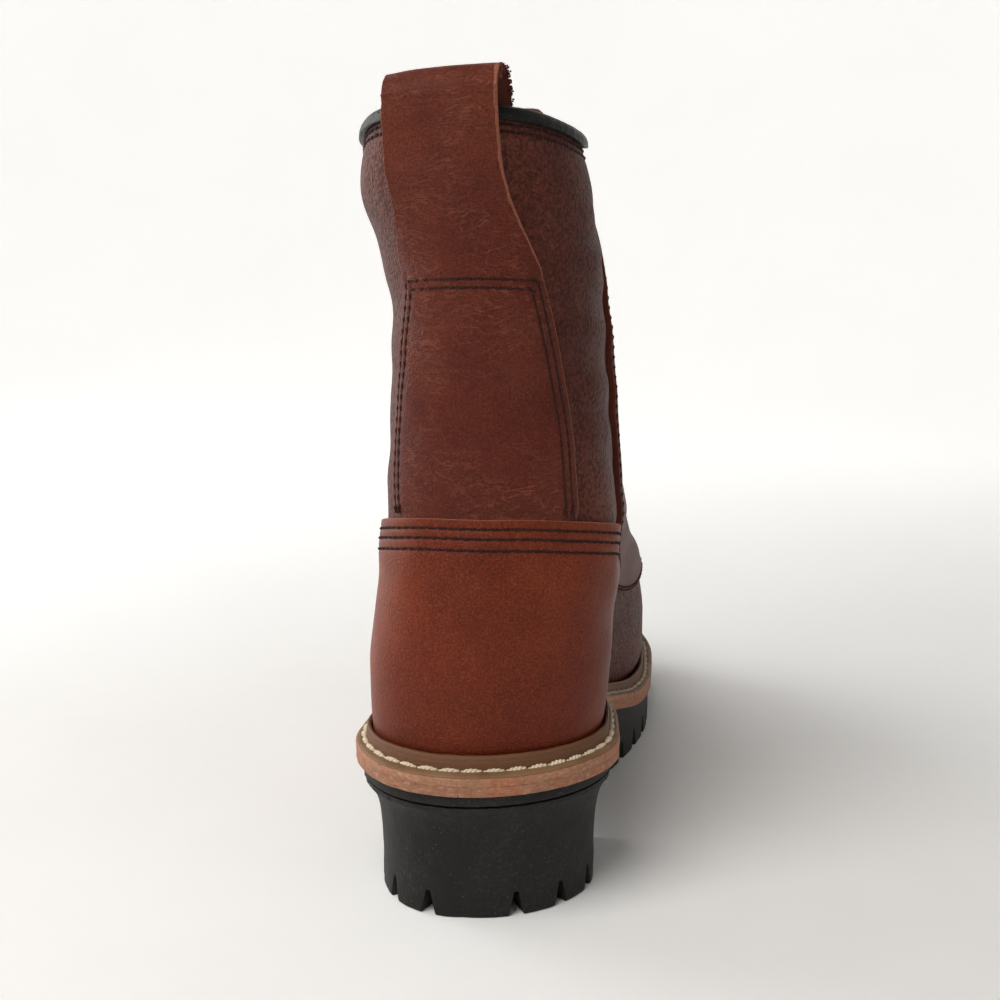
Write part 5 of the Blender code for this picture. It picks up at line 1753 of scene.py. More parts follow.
    def build(self, rows: StitchRows) -> bpy.types.Object:
        """The strap, and its stitches added to rows."""
        b = np.linspace(0, 1, 60)
        z = self.foot_z + (self.sewn_z - self.foot_z) * b
        rows_across = [self.across(float(half)) for half in smooth(self.half_widths, z)]
        u, v = self.sewn(b[:, None], np.array([row[0] for row in rows_across]))
        sewn = self.last.lifted(u, v, self.lift + self.thickness)
        start_y, start_z = sewn[-1][sewn.shape[1] // 2][1:]
        path = np.array(self.path(start_y, start_z))
        widths_z = np.where(path[:, 2] > 0, self.top_z, path[:, 1])
        free_across = [self.across(float(half)) for half in smooth(self.half_widths, widths_z)]
        loose = self.free(path, start_z, np.array([row[0] for row in free_across]))
        outer = np.concatenate([sewn, loose])
        inset = np.array([row[1] for row in rows_across + free_across])
        heights = np.concatenate([z, path[:, 1]])
        turned_rows = np.concatenate([0 * z, path[:, 2]])
        free = np.clip((heights - self.sewn_z) / 12.0, 0, 1) * (1 - 0.8 * turned_rows)
        face = grid_normals(outer)
        free_share = free[:, None]
        outside = (turned_rows == 0)[:, None]
        rise = self.wrinkle(outer, free_share) * outside + 0.12 * ripple(outer, 14.0, 4) * ~outside
        held = (heights < self.sewn_z + 3)[:, None] & outside
        for seam, cross in zip(self.side_seams, self.cross_seams):
            below = outer[..., 2] < cross + 0.4
            rise = rise - 0.3 * held * below * np.exp(-(((inset - seam) / 0.7) ** 2))
            within = (inset > seam - 0.4) * outside
            rise = rise - 0.3 * within * np.exp(-(((outer[..., 2] - cross) / 0.7) ** 2))
        sewn_share = np.clip((self.sewn_z + 4 - heights) / 8.0, 0, 1)[:, None] * outside
        rise = rise - self.press * sewn_share * np.exp(-((inset / 3.2) ** 2))
        above_foot = np.clip((heights - self.foot_z)[:, None] / 3.2, 0, None)
        rise = rise - 1.45 * outside * np.exp(-(above_foot**2))
        gone = np.clip(self.edge_radius - inset, 0, self.edge_radius)
        drop = self.edge_radius - np.sqrt(self.edge_radius**2 - gone**2)
        medial = np.arange(outer.shape[1])[None, :] > outer.shape[1] // 2
        chamfer = np.where(medial, 0.45 + 0.75 * np.clip((heights - self.sewn_z + 4) / 8, 0, 1)[:, None], 0.3)
        chamfer = chamfer * (1 + 0.12 * ripple(outer, 6.0, 19))
        drop = drop + 1.15 * np.clip(chamfer - inset, 0, None) * outside
        crumbs = 0.16 * ripple(outer, 1.9, 9) * np.clip(1 - inset / 0.8, 0, 1)
        edge = np.clip(0.5 + (chamfer + 0.1 - inset) / 0.3, 0, 1)
        shown = outer + (rise - drop + crumbs)[..., None] * face
        under = outer - (self.thickness + 1.0 * sewn_share)[..., None] * face
        self.add_stitches(rows)
        fold = np.flatnonzero((turned_rows > 0.12) & (heights > 240))
        rim = (shown[fold, -1] + under[fold, -1]) / 2
        out = np.tile([[1.0, -0.2, 0.3]], (len(rim), 1))
        Crumbs("strap_fibres", "smooth_leather", 0.5, 0.6, 5).build(Finish.FLESH, rim, out, 420, 0.5)
        mesh = thick_sheet(shown, under, None, 0, edge, 1, 1.0)
        return new_piece("backstay_strap", mesh, (Finish.STRAP, Finish.FLESH), ("pull_strap",))

    def add_stitches(self, rows: StitchRows) -> None:
        """Adds the two rows that run up one side, across and down the other."""
        lift = self.lift + self.thickness
        for seam, cross in zip(self.side_seams, self.cross_seams):
            top = (cross - self.foot_z) / (self.sewn_z - self.foot_z)
            b = np.linspace(0.02, top, 120)
            place = 1 - seam / smooth(self.half_widths, self.foot_z + (self.sewn_z - self.foot_z) * b)
            heights = np.concatenate([b, np.full(50, top), b[::-1]])
            across = np.concatenate([-place, np.linspace(-place[-1], place[-1], 50), place[::-1]])
            u, v = self.sewn(heights, across)
            press = self.press * math.exp(-((seam / 3.2) ** 2)) * (np.abs(across) >= place[-1] - 1e-6)
            rows.add(self.last.lifted(u, v, lift - 0.24 - press), self.last.normal(u, v))


def grid_normals(points: Array) -> Array:
    """The unit normals of a grid of points, across the columns' way turned by the rows' way."""
    along_u = np.gradient(points, axis=1)
    along_v = np.gradient(points, axis=0)
    return unit(np.cross(along_u, along_v))


@dataclass
class CollarRoll:
    """The padded roll that binds the collar's edge, drawn in a little at each stitch."""

    last: Last
    wall: float = 2.8
    gap: float = 0.3
    height: float = 4.2
    half_width: float = 3.3
    stations: int = 420
    pitch: float = 4.6

    def build(self) -> bpy.types.Object:
        """The roll."""
        last = self.last
        edge = float(last.throat_share(last.collar)) - 0.01
        u = edge * np.linspace(-1, 1, self.stations)
        v = np.full_like(u, last.collar)
        line = last.point(u, v) - self.wall / 2 * last.normal(u, v)
        away = last.normal(u, v)
        away[:, 2] = 0
        away = unit(away)
        travelled = np.concatenate([[0], np.cumsum(np.linalg.norm(np.diff(line, axis=0), axis=1))])
        angle = np.linspace(0, math.pi, 19)
        across = -np.cos(angle)
        rise = np.sin(angle) ** 0.72
        section = [(-0.90, -0.04), (-1.0, 0.02)]
        section += [(a * 1.0, r) for a, r in zip(across[1:-1], rise[1:-1])]
        section += [(1.0, 0.02), (0.90, -0.04)]
        section += [(0.5, -0.04), (0.0, -0.04), (-0.5, -0.04)]
        loops = []
        for number, (point, out) in enumerate(zip(line, away)):
            beat = math.cos(2 * math.pi * travelled[number] / self.pitch)
            slow = float(ripple(point[None, :], 26.0, 21)[0])
            loop = []
            for a, r in section:
                low = max(0.0, 1 - r)
                squeeze = 1 - 0.012 * (1 + beat) * low + 0.03 * slow
                tall = 1 + 0.04 * slow
                crinkle = 0.05 * math.sin(travelled[number] * 1.1 + 4 * a + 2.3 * math.sin(travelled[number] * 0.31))
                loop.append(
                    point + out * (self.half_width * a * squeeze + (0.4 * crinkle * a if r > 0.1 else 0.0))
                    + np.array([0.0, 0.0, self.gap + self.height * r * tall * 0.985 + crinkle * max(r, 0) * 0.5])
                )
            loops.append(loop)
        mesh = loft_mesh(np.array(loops))
        return new_piece("collar_binding", mesh, (Finish.ROLL,), ("collar_roll",))


@dataclass
class Tongue:
    """The tongue under the facings, from inside the vamp to above the collar."""

    last: Last
    thickness: float = 3.0
    spread: float = 13.0
    rise: float = 0.75
    insets: Table = ((5, 3.9), (9.5, 3.9), (11, 5), (12, 6.2), (13, 6.4))
    press: float = 0.9

    def build(self) -> bpy.types.Object:
        """The tongue."""
        last = self.last
        across = np.linspace(-1, 1, 61)
        rows = []
        for v in np.linspace(5.2, last.collar + self.rise, 110):
            inset = float(smooth(self.insets, v)) + self.press * min(1.0, max(0.0, (12.2 - v) / 0.6))
            half = float(smooth(last.throat_half_widths, v)) + self.spread * min(1.0, 0.45 + 0.2 * (v - 5.2))
            rounding = math.sqrt(max(0.0, 1 - max(0.0, (v - last.collar - self.rise + 0.45) / 0.45) ** 2 * 0.35))
            reach = 1 - float(last.share_off_middle(min(v, last.collar), half * rounding))
            u = np.where(across < 0, 1 + reach * across, -1 + reach * across)
            u[len(across) // 2] = 1.0
            base = last.point(u, np.full_like(u, v))
            away = last.normal(np.clip(u, -0.999, 0.999), np.full_like(u, v))
            rows.append(base - inset * away)
        outer = np.array(rows)
        face = grid_normals(outer)
        soft = 0.28 * ripple(outer, 30.0, 31) + 0.12 * ripple(outer, 11.0, 32)
        outer = outer + soft[..., None] * face
        edge = np.minimum(1 - np.abs(across)[None, :], 1) * 20 + 0 * outer[..., 0]
        top = (np.arange(len(outer))[::-1, None]) * 1.0 + 0 * edge
        near = np.minimum(edge, top)
        drop = 0.5 * np.clip(1 - near, 0, 1) ** 2
        mesh = thick_sheet(
            outer - drop[..., None] * face, outer - self.thickness * face, None, 0, np.clip(1 - near, 0, 1), 1, 0.0
        )
        return new_piece("tongue_leather", mesh, (Finish.SHAFT, Finish.LINING), ("tongue",))


@dataclass
class Insole:
    """The leather board inside the upper, a little dished by the foot."""

    last: Last
    wall: float = 2.8
    gap: float = 0.3
    margin: float = 1.4
    thickness: float = 3.0

    def build(self) -> bpy.types.Object:
        """The insole."""
        last = self.last
        q = np.linspace(0.012, 0.988, 150)
        inner = self.wall + self.gap + self.margin
        low_ring = np.full_like(q, 0.05)
        sides = [last.point(side * q, low_ring) - inner * last.normal(side * q, low_ring) for side in (-1, 1)]
        across = np.linspace(0, 1, 41)[None, :, None]
        plane = sides[0][:, None, :] * (1 - across) + sides[1][:, None, :] * across
        floor_z = last.layer_top(plane[..., 1], 2.4 * self.gap) + self.gap
        middle = np.sin(math.pi * across[..., 0]) ** 2
        heel = np.exp(-(((plane[..., 1] - 5) / 38) ** 2)) + 0.8 * np.exp(-(((plane[..., 1] - 170) / 48) ** 2))
        rim = np.clip(1 - 12 * np.minimum(across[..., 0], 1 - across[..., 0]), 0, 1)
        top_z = floor_z + self.thickness - 0.7 * middle * heel - 0.8 * rim**2
        outer = np.stack([plane[..., 0], plane[..., 1], top_z], axis=-1)
        under = np.stack([plane[..., 0], plane[..., 1], floor_z], axis=-1)
        mesh = thick_sheet(outer, under, None, 0, np.zeros(outer.shape[:2]), 0, 0.0)
        return new_piece("insole_board", mesh, (Finish.BOARD,), ("insole",))


class WeltPart(Enum):
    """The parts of the welt that are coloured apart."""

    FLANGE = 0.0
    RIDGE = 1.0
    EDGE = 2.0


@dataclass
class Welt:
    """The strip round the feather edge: a flat flange, a stitch channel and a raised storm ridge."""

    last: Last
    thickness: float = 2.9
    ridge_height: float = 4.2
    ridge_width: float = 3.9
    channel: float = 0.7
    ridge_share: float = 0.34
    clearances: Table = ((86, 3.1), (114, 0.8))
    side_count: int = 210

    def profile(self) -> list[tuple[float, float, float, float, WeltPart, float]]:
        """Rows of share inwards, ridge widths and shift further in, height, part and how much painted shade its hollow
        gets.
        """
        edge, flange, ridge = WeltPart.EDGE, WeltPart.FLANGE, WeltPart.RIDGE
        t, h = self.thickness, self.ridge_height
        # The last column is painted shade: darkest in the stitch channel, on the ridge's step and at the ridge's foot
        # against the upper.
        return [
            (0, 0, 0.05, -0.40, edge, 0.0), (0, 0, 0.0, -0.32, edge, 0.0), (0, 0, -0.05, 0.9, edge, 0.0),
            (0, 0, 0.04, 1.6, edge, 0.0), (0, 0, 0.22, t - 0.80, edge, 0.0), (0, 0, 0.52, t - 0.38, flange, 0.0),
            (0, 0, 0.95, t - 0.12, flange, 0.0), (0.5, -0.5, -0.35, t + 0.03, flange, 0.0),
            (1, -1, -1.45, t, flange, 0.0), (1, -1, -1.2, t - 0.1, flange, 0.3),
            (1, -1, -0.85, t - self.channel * 0.85, flange, 0.8), (1, -1, -0.4, t - self.channel, ridge, 0.95),
            (1, -1, -0.1, t - 0.2, ridge, 0.6), (1, -1, 0.1, t + h * 0.40, ridge, 0.1),
            (1, -1, 0.24, t + h * 0.60, ridge, 0.0), (1, -0.93, 0.16, t + h * 0.65, ridge, 0.7),
            (1, -0.89, 0.16, t + h * 0.73, ridge, 0.35), (1, -0.80, 0.1, t + h * 0.92, ridge, 0.0),
            (1, -0.62, 0.0, t + h * 0.99, ridge, 0.0), (1, -0.36, 0.0, t + h * 0.98, ridge, 0.0),
            (1, -0.12, 0.0, t + h * 0.93, ridge, 0.1), (1, 0, 0.0, t + h * 0.84, ridge, 0.4),
            (2, 0, 0.0, 0.0, ridge, 1.0),
        ]

    def frame(self) -> tuple[Array, Array, Array, Array]:
        """The outer loop, the inward unit vectors, the full width and the foot's loop."""
        outer, u = self.last.round_sole(self.side_count)
        clear = smooth(self.clearances, outer[:, 1])[:, None]
        inner_v, foot_v = np.full_like(u, 0.62), np.full_like(u, 0.05)
        inner = (self.last.point(u, inner_v) + clear * self.last.normal(u, inner_v))[:, :2]
        foot = (self.last.point(u, foot_v) + clear * self.last.normal(u, foot_v))[:, :2]
        inward = inner - outer
        width = np.linalg.norm(inward, axis=1, keepdims=True)
        return outer, inward / width, width, foot

    def at(self, share: float, of_ridge: float, shift: float, rise: float) -> Array:
        """A closed loop of the welt's points at one place of its profile."""
        outer, inward, width, foot = self.frame()
        ridge = np.minimum(self.ridge_width, self.ridge_share * width)
        place = foot if share == 2 else outer + inward * (width * share + ridge * of_ridge + shift)
        base = self.last.layer_top(place[:, 1], 1.5 * self.last.gap)
        return np.column_stack([place, base + rise])

    def build(self) -> bpy.types.Object:
        """The welt."""
        loops, parts, hollow_shades = [], [], []
        for share, of_ridge, shift, rise, part, hollow in self.profile():
            loop = self.at(share, of_ridge, shift, rise)
            uneven = 0.08 * ripple(loop, 11.0, 41) + 0.05 * ripple(loop, 3.2, 42)
            loop[:, 2] += uneven * (rise > 0.5) * (share < 2)
            if part is WeltPart.EDGE:
                loop[:, :2] -= self.frame()[1] * (0.10 * ripple(loop * (1, 1, 2), 8.0, 43))[:, None]
            loops.append(loop)
            parts.append(np.full(len(loop), part.value))
            hollow_shades.append(np.full(len(loop), hollow))
        mesh = loft_mesh(np.array(loops), {"part": np.array(parts), "hollow": np.array(hollow_shades)}, closed=True)
        return new_piece("storm_welt", mesh, (Finish.WELT,), ("welt",))

    def stitch(self, rows: StitchRows) -> None:
        """Adds the thick row of stitches that lies in the channel."""
        line = self.at(1, -1, -0.72, self.thickness - 0.22)
        line = np.concatenate([line, line[:1]])
        facing = np.tile([[0.0, 0.0, 1.0]], (len(line), 1))
        inward = self.frame()[1]
        inward = np.concatenate([inward, inward[:1]])
        facing[:, :2] = -0.35 * inward
        rows.add(line, unit(facing))


@dataclass
class Soles:
    """The leather midsole, the rubber outsole and the heel block."""

    last: Last
    midsole_inset: float = 0.08
    outsole_inset: float = 1.0
    heel_top: float = 38.9
    breast_top: float = 40.5
    breast_foot: float = 35.0
    back_share: float = 1.65
    breast_share: float = 0.62
    heel_insets: Table = (
        (0.0, 6.8), (0.35, 6.45), (1.0, 6.35), (6.0, 6.5), (18.0, 6.2), (27.0, 5.4), (33.0, 4.0), (36.2, 2.4),
        (37.9, 1.2), (38.7, 0.95), (38.9, 1.05),
    )
    notch_height: float = 8.0
    notch_foot: float = 5.5
    notch_crest: float = 1.4
    notch_lead: float = 3.0
    heel_notch_length: float = 12.0
    heel_notches: tuple[float, ...] = (16.0, 34.0, 51.0, 66.0)
    tread_start: float = 116.0
    tread_step: float = 16.5
    tread_count: int = 8
    tread_length: float = 26.0
    tread_sweep: float = 14.0
    spine: tuple[float, float, float, float] = (112.0, 226.0, 5.0, 5.0)

    def slab(self, inset: float, spread: Table, low: Callable[[Array], Array],
             high: Callable[[Array], Array], uneven: float, part: float) -> bpy.types.Mesh:
        """A layer of the sole.

        Args:
            inset: How far its outline lies inside the sole's.
            spread: What is added to its outline, as rows of y and width.
            low: The height of its underside at y.
            high: The height of its top at y.
            uneven: How far its trimmed edge wavers.
            part: The part number that its material reads.

        Returns:
            The mesh.
        """
        q = (1 - np.cos(np.linspace(0.02, math.pi - 0.02, 230))) / 2
        q = 0.5 * q + 0.5 * np.linspace(0.002, 0.998, 230)
        levels = (
            (0.5, "low", 0.0), (0.1, "low", 0.06), (0.0, "low", 0.3), (0.0, "mid", 0.5),
            (0.0, "high", -0.3), (0.04, "high", -0.02), (0.5, "high", 0.0),
        )
        sides: dict[int, list[Array]] = {-1: [], 1: []}
        for side in (-1, 1):
            for shift, anchor, rise in levels:
                edge = self.last.spread_outline(q, side, inset + shift, spread)
                bottom, top = low(edge[:, 1]), high(edge[:, 1])
                z = {"low": bottom + rise, "mid": (bottom + top) / 2, "high": top + rise}[anchor]
                place = np.column_stack([edge, z])
                away = unit(edge - self.last.spread_outline(q, side, inset + shift + 1.0, spread))
                place[:, :2] += away * (uneven * ripple(place * (1, 1, 3), 7.0, 51))[:, None]
                sides[side].append(place)
        bottom_row = [sides[-1][0] * (1 - s) + sides[1][0] * s for s in np.linspace(0, 1, 14)[1:-1]]
        for row in bottom_row:
            row[:, 2] = low(row[:, 1])
        top_row = [sides[1][-1] * (1 - s) + sides[-1][-1] * s for s in np.linspace(0, 1, 6)[1:-1]]
        for row in top_row:
            row[:, 2] = high(row[:, 1])
        section = [sides[-1][0], *bottom_row, *sides[1], *top_row, *sides[-1][:0:-1]]
        loops = np.stack(section, axis=1)
        # The sole's layers get no painted shade: their hollow attribute is zero.
        return loft_mesh(loops, {"part": np.full(loops.shape[:2], part), "hollow": np.zeros(loops.shape[:2])})

    def midsole(self) -> bpy.types.Object:
        """The leather layer between the welt and the rubber."""
        last = self.last
        mesh = self.slab(
            self.midsole_inset, last.welt_spread, lambda y: smooth(last.seat, y) + last.gap,
            lambda y: smooth(last.seat, y) + last.gap + last.midsole, 0.10, WeltPart.EDGE.value,
        )
        return new_piece("leather_midsole", mesh, (Finish.MIDSOLE,), ("midsole",))

    def wedge(self, bm: bmesh.types.BMesh, origin: Array, direction: Array, length: float) -> None:
        """Adds a groove's cutter, wide below, from origin along direction."""
        forward = Vector((*direction, 0.0)).normalized()
        across = Vector((-forward.y, forward.x, 0.0))
        below = 2.0
        wide = self.notch_foot / 2 + (self.notch_foot - self.notch_crest) / (2 * self.notch_height) * below
        made = bmesh.ops.create_cube(bm, size=1.0)
        for vert in made["verts"]:
            top = vert.co.z > 0
            half = self.notch_crest / 2 if top else wide
            vert.co = (
                Vector((*origin, 0.0)) + forward * (length if vert.co.x > 0 else 0.0)
                + across * math.copysign(half, vert.co.y)
                + Vector((0.0, 0.0, self.notch_height if top else -below))
            )

    def cut(self, mesh: bpy.types.Mesh, places: Sequence[tuple[Array, Array, float]],
            groove: Sequence[Array] = ()) -> bpy.types.Mesh:
        """The mesh with its grooves cut and its cut edges eased."""
        bm = bmesh.new()
        for place in places:
            self.wedge(bm, *place)
        bmesh.ops.recalc_face_normals(bm, faces=bm.faces)
        bmesh.ops.scale(bm, vec=(MM, MM, MM), verts=bm.verts)
        tools = [linked("grooves", emptied(bm))]
        if len(groove):
            tools.append(linked("spine", loft_mesh(np.array(groove))))

        def set_up(carrier: bpy.types.Object) -> None:
            for tool in tools:
                modifier = carrier.modifiers.new(tool.name, "BOOLEAN")
                modifier.operation = "DIFFERENCE"
                modifier.solver = "EXACT"
                modifier.object = tool
            bevel = carrier.modifiers.new("eased", "BEVEL")
            bevel.width = 0.28 * MM
            bevel.segments = 2
            bevel.limit_method = "ANGLE"
            bevel.angle_limit = math.radians(48)

        result = applied(mesh, set_up)
        for tool in tools:
            bpy.data.objects.remove(tool)
        return result

    def outsole(self) -> bpy.types.Object:
        """The full-length rubber layer, with grooves between its forefoot lugs."""
        last = self.last
        mesh = self.slab(
            self.outsole_inset, last.rubber_spread, lambda y: smooth(last.tread, y),
            lambda y: smooth(last.seat, y), 0.06, 0.0,
        )
        q = np.linspace(0, 1, 400)
        places = []
        for side in (1, -1):
            edge = last.sole_outline(q, side, -3.0)
            for number in range(self.tread_count):
                y = self.tread_start + number * self.tread_step
                origin = last.sole_outline(np.interp(y, edge[:, 1], q), side, -3.0)
                middle = np.array([float(smooth(last.swing, y)), y - self.tread_sweep])
                direction = middle - origin
                reach = min(self.tread_length, float(np.linalg.norm(direction)) - self.spine[2])
                places.append((origin, direction, reach))
        start, end, width, depth = self.spine
        y = np.linspace(start, end, 30)
        groove = []
        for middle in np.column_stack([smooth(last.swing, y), y]):
            groove.append([
                (middle[0] + sx * width / 2, middle[1], z)
                for sx, z in ((-1, -2.0), (1, -2.0), (0.6, depth), (-0.6, depth))
            ])
        return new_piece(
            "rubber_outsole", self.cut(mesh, places, groove), (Finish.RUBBER,), ("outsole",), 35.0
        )

    def heel_loop(self, z: float, inset: float, count: int) -> Array:
        """The heel block's outline at height z, from breast corner to breast corner."""
        last = self.last
        breast = self.breast_foot + (self.breast_top - self.breast_foot) * z / self.heel_top
        knots = (0.0, last.sole_shares[0], last.sole_shares[0] + 0.1)
        values = (self.back_share, 1.0, self.breast_share)
        q = np.linspace(0, 1, 400)
        sides = []
        for side in (1, -1):
            edge = last.sole_outline(q, side, inset * through(knots, values, q))
            ahead = np.interp(breast, edge[:, 1], q)
            shares = np.linspace(0, ahead, count)
            sides.append(last.sole_outline(shares, side, inset * through(knots, values, shares)))
        loop = np.concatenate([sides[0][::-1], sides[1][1:]])
        return np.column_stack([loop, np.full(len(loop), z)])

    def heel(self) -> bpy.types.Object:
        """The flared rubber heel block, notched all round its foot."""
        heights = np.unique(np.concatenate([
            np.array([row[0] for row in self.heel_insets]), np.linspace(2, 37, 17)
        ]))
        loops = []
        for z in heights:
            loop = self.heel_loop(float(z), float(smooth(self.heel_insets, z)), 80)
            near_top = math.exp(-(((z - 37.6) / 2.2) ** 2))
            rough = 0.07 * ripple(loop, 7.0, 61) + (0.04 + 0.22 * near_top) * ripple(loop * (1, 1, 2), 2.6, 62)
            centre = np.array([loop[:, 0].mean(), 0.0])
            away = unit(loop[:, :2] - centre)
            loop[:, :2] += away * (rough * (0 < z < self.heel_top))[:, None]
            if z > 38:
                joint = np.minimum(smooth(self.last.tread, loop[:, 1]), self.heel_top + 0.6)
                loop[:, 2] = joint - 0.07 - (self.heel_top - z)
            loops.append(loop)
        mesh = loft_mesh(np.array(loops))
        rim = self.heel_loop(0.0, self.heel_insets[0][1] - self.notch_lead, 60)[:, :2]
        travelled = np.concatenate([[0], np.cumsum(np.linalg.norm(np.diff(rim, axis=0), axis=1))])
        places = []
        for distance in self.heel_notches:
            for at in (travelled[-1] / 2 - distance, travelled[-1] / 2 + distance):
                before, origin, after = (
                    np.array([np.interp(at + shift, travelled, rim[:, k]) for k in range(2)])
                    for shift in (-1.0, 0.0, 1.0)
                )
                inward = np.array((after[1] - before[1], before[0] - after[0]))
                places.append((origin, inward, self.heel_notch_length + self.notch_lead))
        return new_piece("rubber_heel", self.cut(mesh, places), (Finish.RUBBER,), ("heel",), 35.0)


@dataclass
class Lacing:
    """The eight pairs of eyelets and the lace that runs through them."""

    last: Last
    pairs: int = 8
    first_ring: float = 6.75
    last_ring: float = 11.72
    inset: float = 9.5
    face: float = 2.75
    flange: float = 4.4
    bore: float = 2.0
    barrel: float = 2.5
    rim: float = 0.7
    eyelet_lift: float = 0.45
    depth: float = 5.55
    lace_radius: float = 1.62

    def places(self) -> list[tuple[tuple[float, float], tuple[float, float]]]:
        """The (u, v) of each pair of eyelets, the medial one first."""
        found = []
        for v in np.linspace(self.first_ring, self.last_ring, self.pairs):
            half = float(smooth(self.last.throat_half_widths, v)) + self.inset
            q = float(self.last.share_off_middle(v, half))
            found.append(((q, float(v)), (-q, float(v))))
        return found

    def all_places(self) -> list[tuple[float, float]]:
        """The (u, v) of every eyelet."""
        return [place for pair in self.places() for place in pair]

    def eyelets(self) -> bpy.types.Object:
        """The flanged eyelets, as one piece."""
        top = self.eyelet_lift + self.rim
        wide, bore, barrel = self.flange, self.bore, self.barrel
        profile = (
            (bore, -self.depth), (bore, top - 0.55), (bore + 0.12, top - 0.2), (bore + 0.45, top - 0.02),
            (bore + 0.9, top), (wide - 0.9, top - 0.05), (wide - 0.35, top - 0.22),
            (wide - 0.05, self.eyelet_lift + 0.2), (wide, self.eyelet_lift), (barrel + 0.2, self.eyelet_lift),
            (barrel, self.eyelet_lift - 0.3), (barrel, -self.depth + 0.3), (barrel + 0.7, -self.depth - 0.1),
            (barrel + 0.4, -self.depth - 0.45), (bore + 0.1, -self.depth - 0.3),
        )
        steps = 32
        angle = np.arange(steps) * 2 * math.pi / steps
        loops = np.array([
            [(radius * math.cos(a), radius * math.sin(a), z) for radius, z in profile] for a in angle
        ])
        u, v = np.array(self.all_places()).T
        points, facing = self.last.lifted(u, v, self.face), self.last.normal(u, v)
        made = scattered("eyelets", loft_mesh(loops, closed=True), Finish.BRASS, points, facing)
        names = [f"eyelet_{side}_{n + 1}" for side in ("medial", "lateral") for n in range(self.pairs)]
        return new_piece("eyelets", made, (), names)

    def route(self, start: tuple[float, float], end: tuple[float, float], over: float,
              first: bool) -> list[tuple[float, float, float, float]]:
        """One run's guide points, from an eyelet up over its facing to under the other facing.

        Args:
            start: The eyelet that it leaves, as (u, v).
            end: The eyelet that it comes up through next.
            over: How far it is lifted or pressed where it meets the other run.
            first: Whether it leaves under its facing.

        Returns:
            Rows of u, v, lift and thickness share.
        """
        (u0, v0), (u1, v1) = start, end
        turn = -1 if u0 > 0 else 1
        around = (2 - abs(u0) - abs(u1))
        edge_share = (1 - float(self.last.throat_share(v1))) / around

        def at(share: float, lift: float, thick: float) -> tuple[float, float, float, float]:
            u = u0 - turn * around * share
            u = u - 2 if u > 1 else u + 2 if u < -1 else u
            return u, v0 + (v1 - v0) * share, lift, thick

        top = self.face + self.eyelet_lift + self.rim + self.lace_radius
        under = -self.face - 1.1
        middle = 1.2 + over
        below = [at(1 - edge_share * 1.15, -1.6, 0.85), at(1 - edge_share * 0.62, under, 0.7),
                 at(0.985, under + 0.2, 0.7)]
        if first:
            lead = [at(0.015, under + 0.2, 0.7), at(edge_share * 0.62, under, 0.7),
                    at(edge_share * 1.15, -1.6, 0.85)]
            return [*lead, at(0.5, 0.4 + over, 1.0), *below]
        lead = [at(0.0, -1.0, 0.9), at(0.0, 2.2, 0.95), at(0.03, top - 0.9, 1.0), at(0.11, top + 0.05, 1.0),
                at(edge_share, self.face + self.lace_radius + 0.1, 1.0)]
        return [*lead, at(0.5, middle, 1.0), *below]

    def laces(self) -> bpy.types.Object:
        """The lace: the bar, the crossings and the ends at the top eyelets, as one braided piece."""
        ends = self.places()
        meshes = []
        top = self.face + self.eyelet_lift + self.rim + self.lace_radius
        u0, v0 = ends[0][0]
        around = 2 * (1 - u0)
        bar = []
        for share, lift in ((0.0, -2.4), (0.0, 2.2), (0.03, top - 0.9), (0.12, top), (0.3, top - 1.0), (0.5, top - 1.8),
                            (0.7, top - 1.0), (0.88, top), (0.97, top - 0.9), (1.0, 2.2), (1.0, -2.4)):
            u = u0 + around * share
            bar.append((u - 2 if u > 1 else u, v0, lift, 0.95))
        meshes.append(self.braid(bar))
        for row, (low, high) in enumerate(zip(ends, ends[1:])):
            for near, far in ((0, 1), (1, 0)):
                lifted = 1.75 if (near == 0) == (row % 2 == 0) else -1.75
                meshes.append(self.braid(self.route(low[near], high[far], lifted, row == 0)))
        for u, v in ends[-1]:
            meshes.append(self.braid([
                (u, v, -2.6, 0.9), (u, v, 0.5, 0.95), (u, v, 2.6, 0.95), (u, v, top - self.lace_radius + 0.8, 0.95),
            ]))
        bm = bmesh.new()
        for mesh in meshes:
            bm.from_mesh(mesh)
        joined = emptied(bm)
        names = ["lace_bar"] + [f"lace_crossing_{n + 1}" for n in range(self.pairs - 1)]
        return new_piece("lace_run", joined, (Finish.LACE,), names)

    def braid(self, guides: Sequence[tuple[float, float, float, float]]) -> bpy.types.Mesh:
        """A braided tube along guide points given as u, v, lift and thickness share, with painted shade in the grooves
        between its strands.
        """
        rows = np.array(guides)
        corners = self.last.lifted(rows[:, 0], rows[:, 1], rows[:, 2])
        chord = np.linalg.norm(np.diff(corners, axis=0), axis=1)
        knots = np.concatenate([[0], np.cumsum(np.maximum(chord, 0.4))])
        count = max(12, int(knots[-1] / 0.42))
        at = np.linspace(0, knots[-1], count)
        line = np.stack([natural_curve(knots, corners[:, k], at) for k in range(3)], axis=-1)
        thick = np.interp(at, knots, rows[:, 3])
        tangent = unit(np.gradient(line, axis=0))
        side = np.cross(tangent[0], (0.0, 0.3, 1.0))
        loops, groove_shades = [], []
        angle = np.linspace(0, 2 * math.pi, 19)[:-1]
        for number, (point, ahead) in enumerate(zip(line, tangent)):
            side = unit(side - ahead * (side @ ahead))
            up = np.cross(ahead, side)
            phase = at[number] * 2 * math.pi / 2.6
            weave = np.cos(6 * angle + phase) * np.cos(6 * angle - phase)
            radius = self.lace_radius * thick[number] * (1 + 0.075 * weave)
            loops.append(point + np.outer(radius * np.cos(angle), side) + np.outer(radius * np.sin(angle), up))
            # Painted shade, strongest where the braid's radius dips between its strands.
            groove_shades.append(np.clip(0.5 - 0.8 * weave, 0, 1))
        return loft_mesh(np.array(loops), {"strand": np.array(groove_shades)})


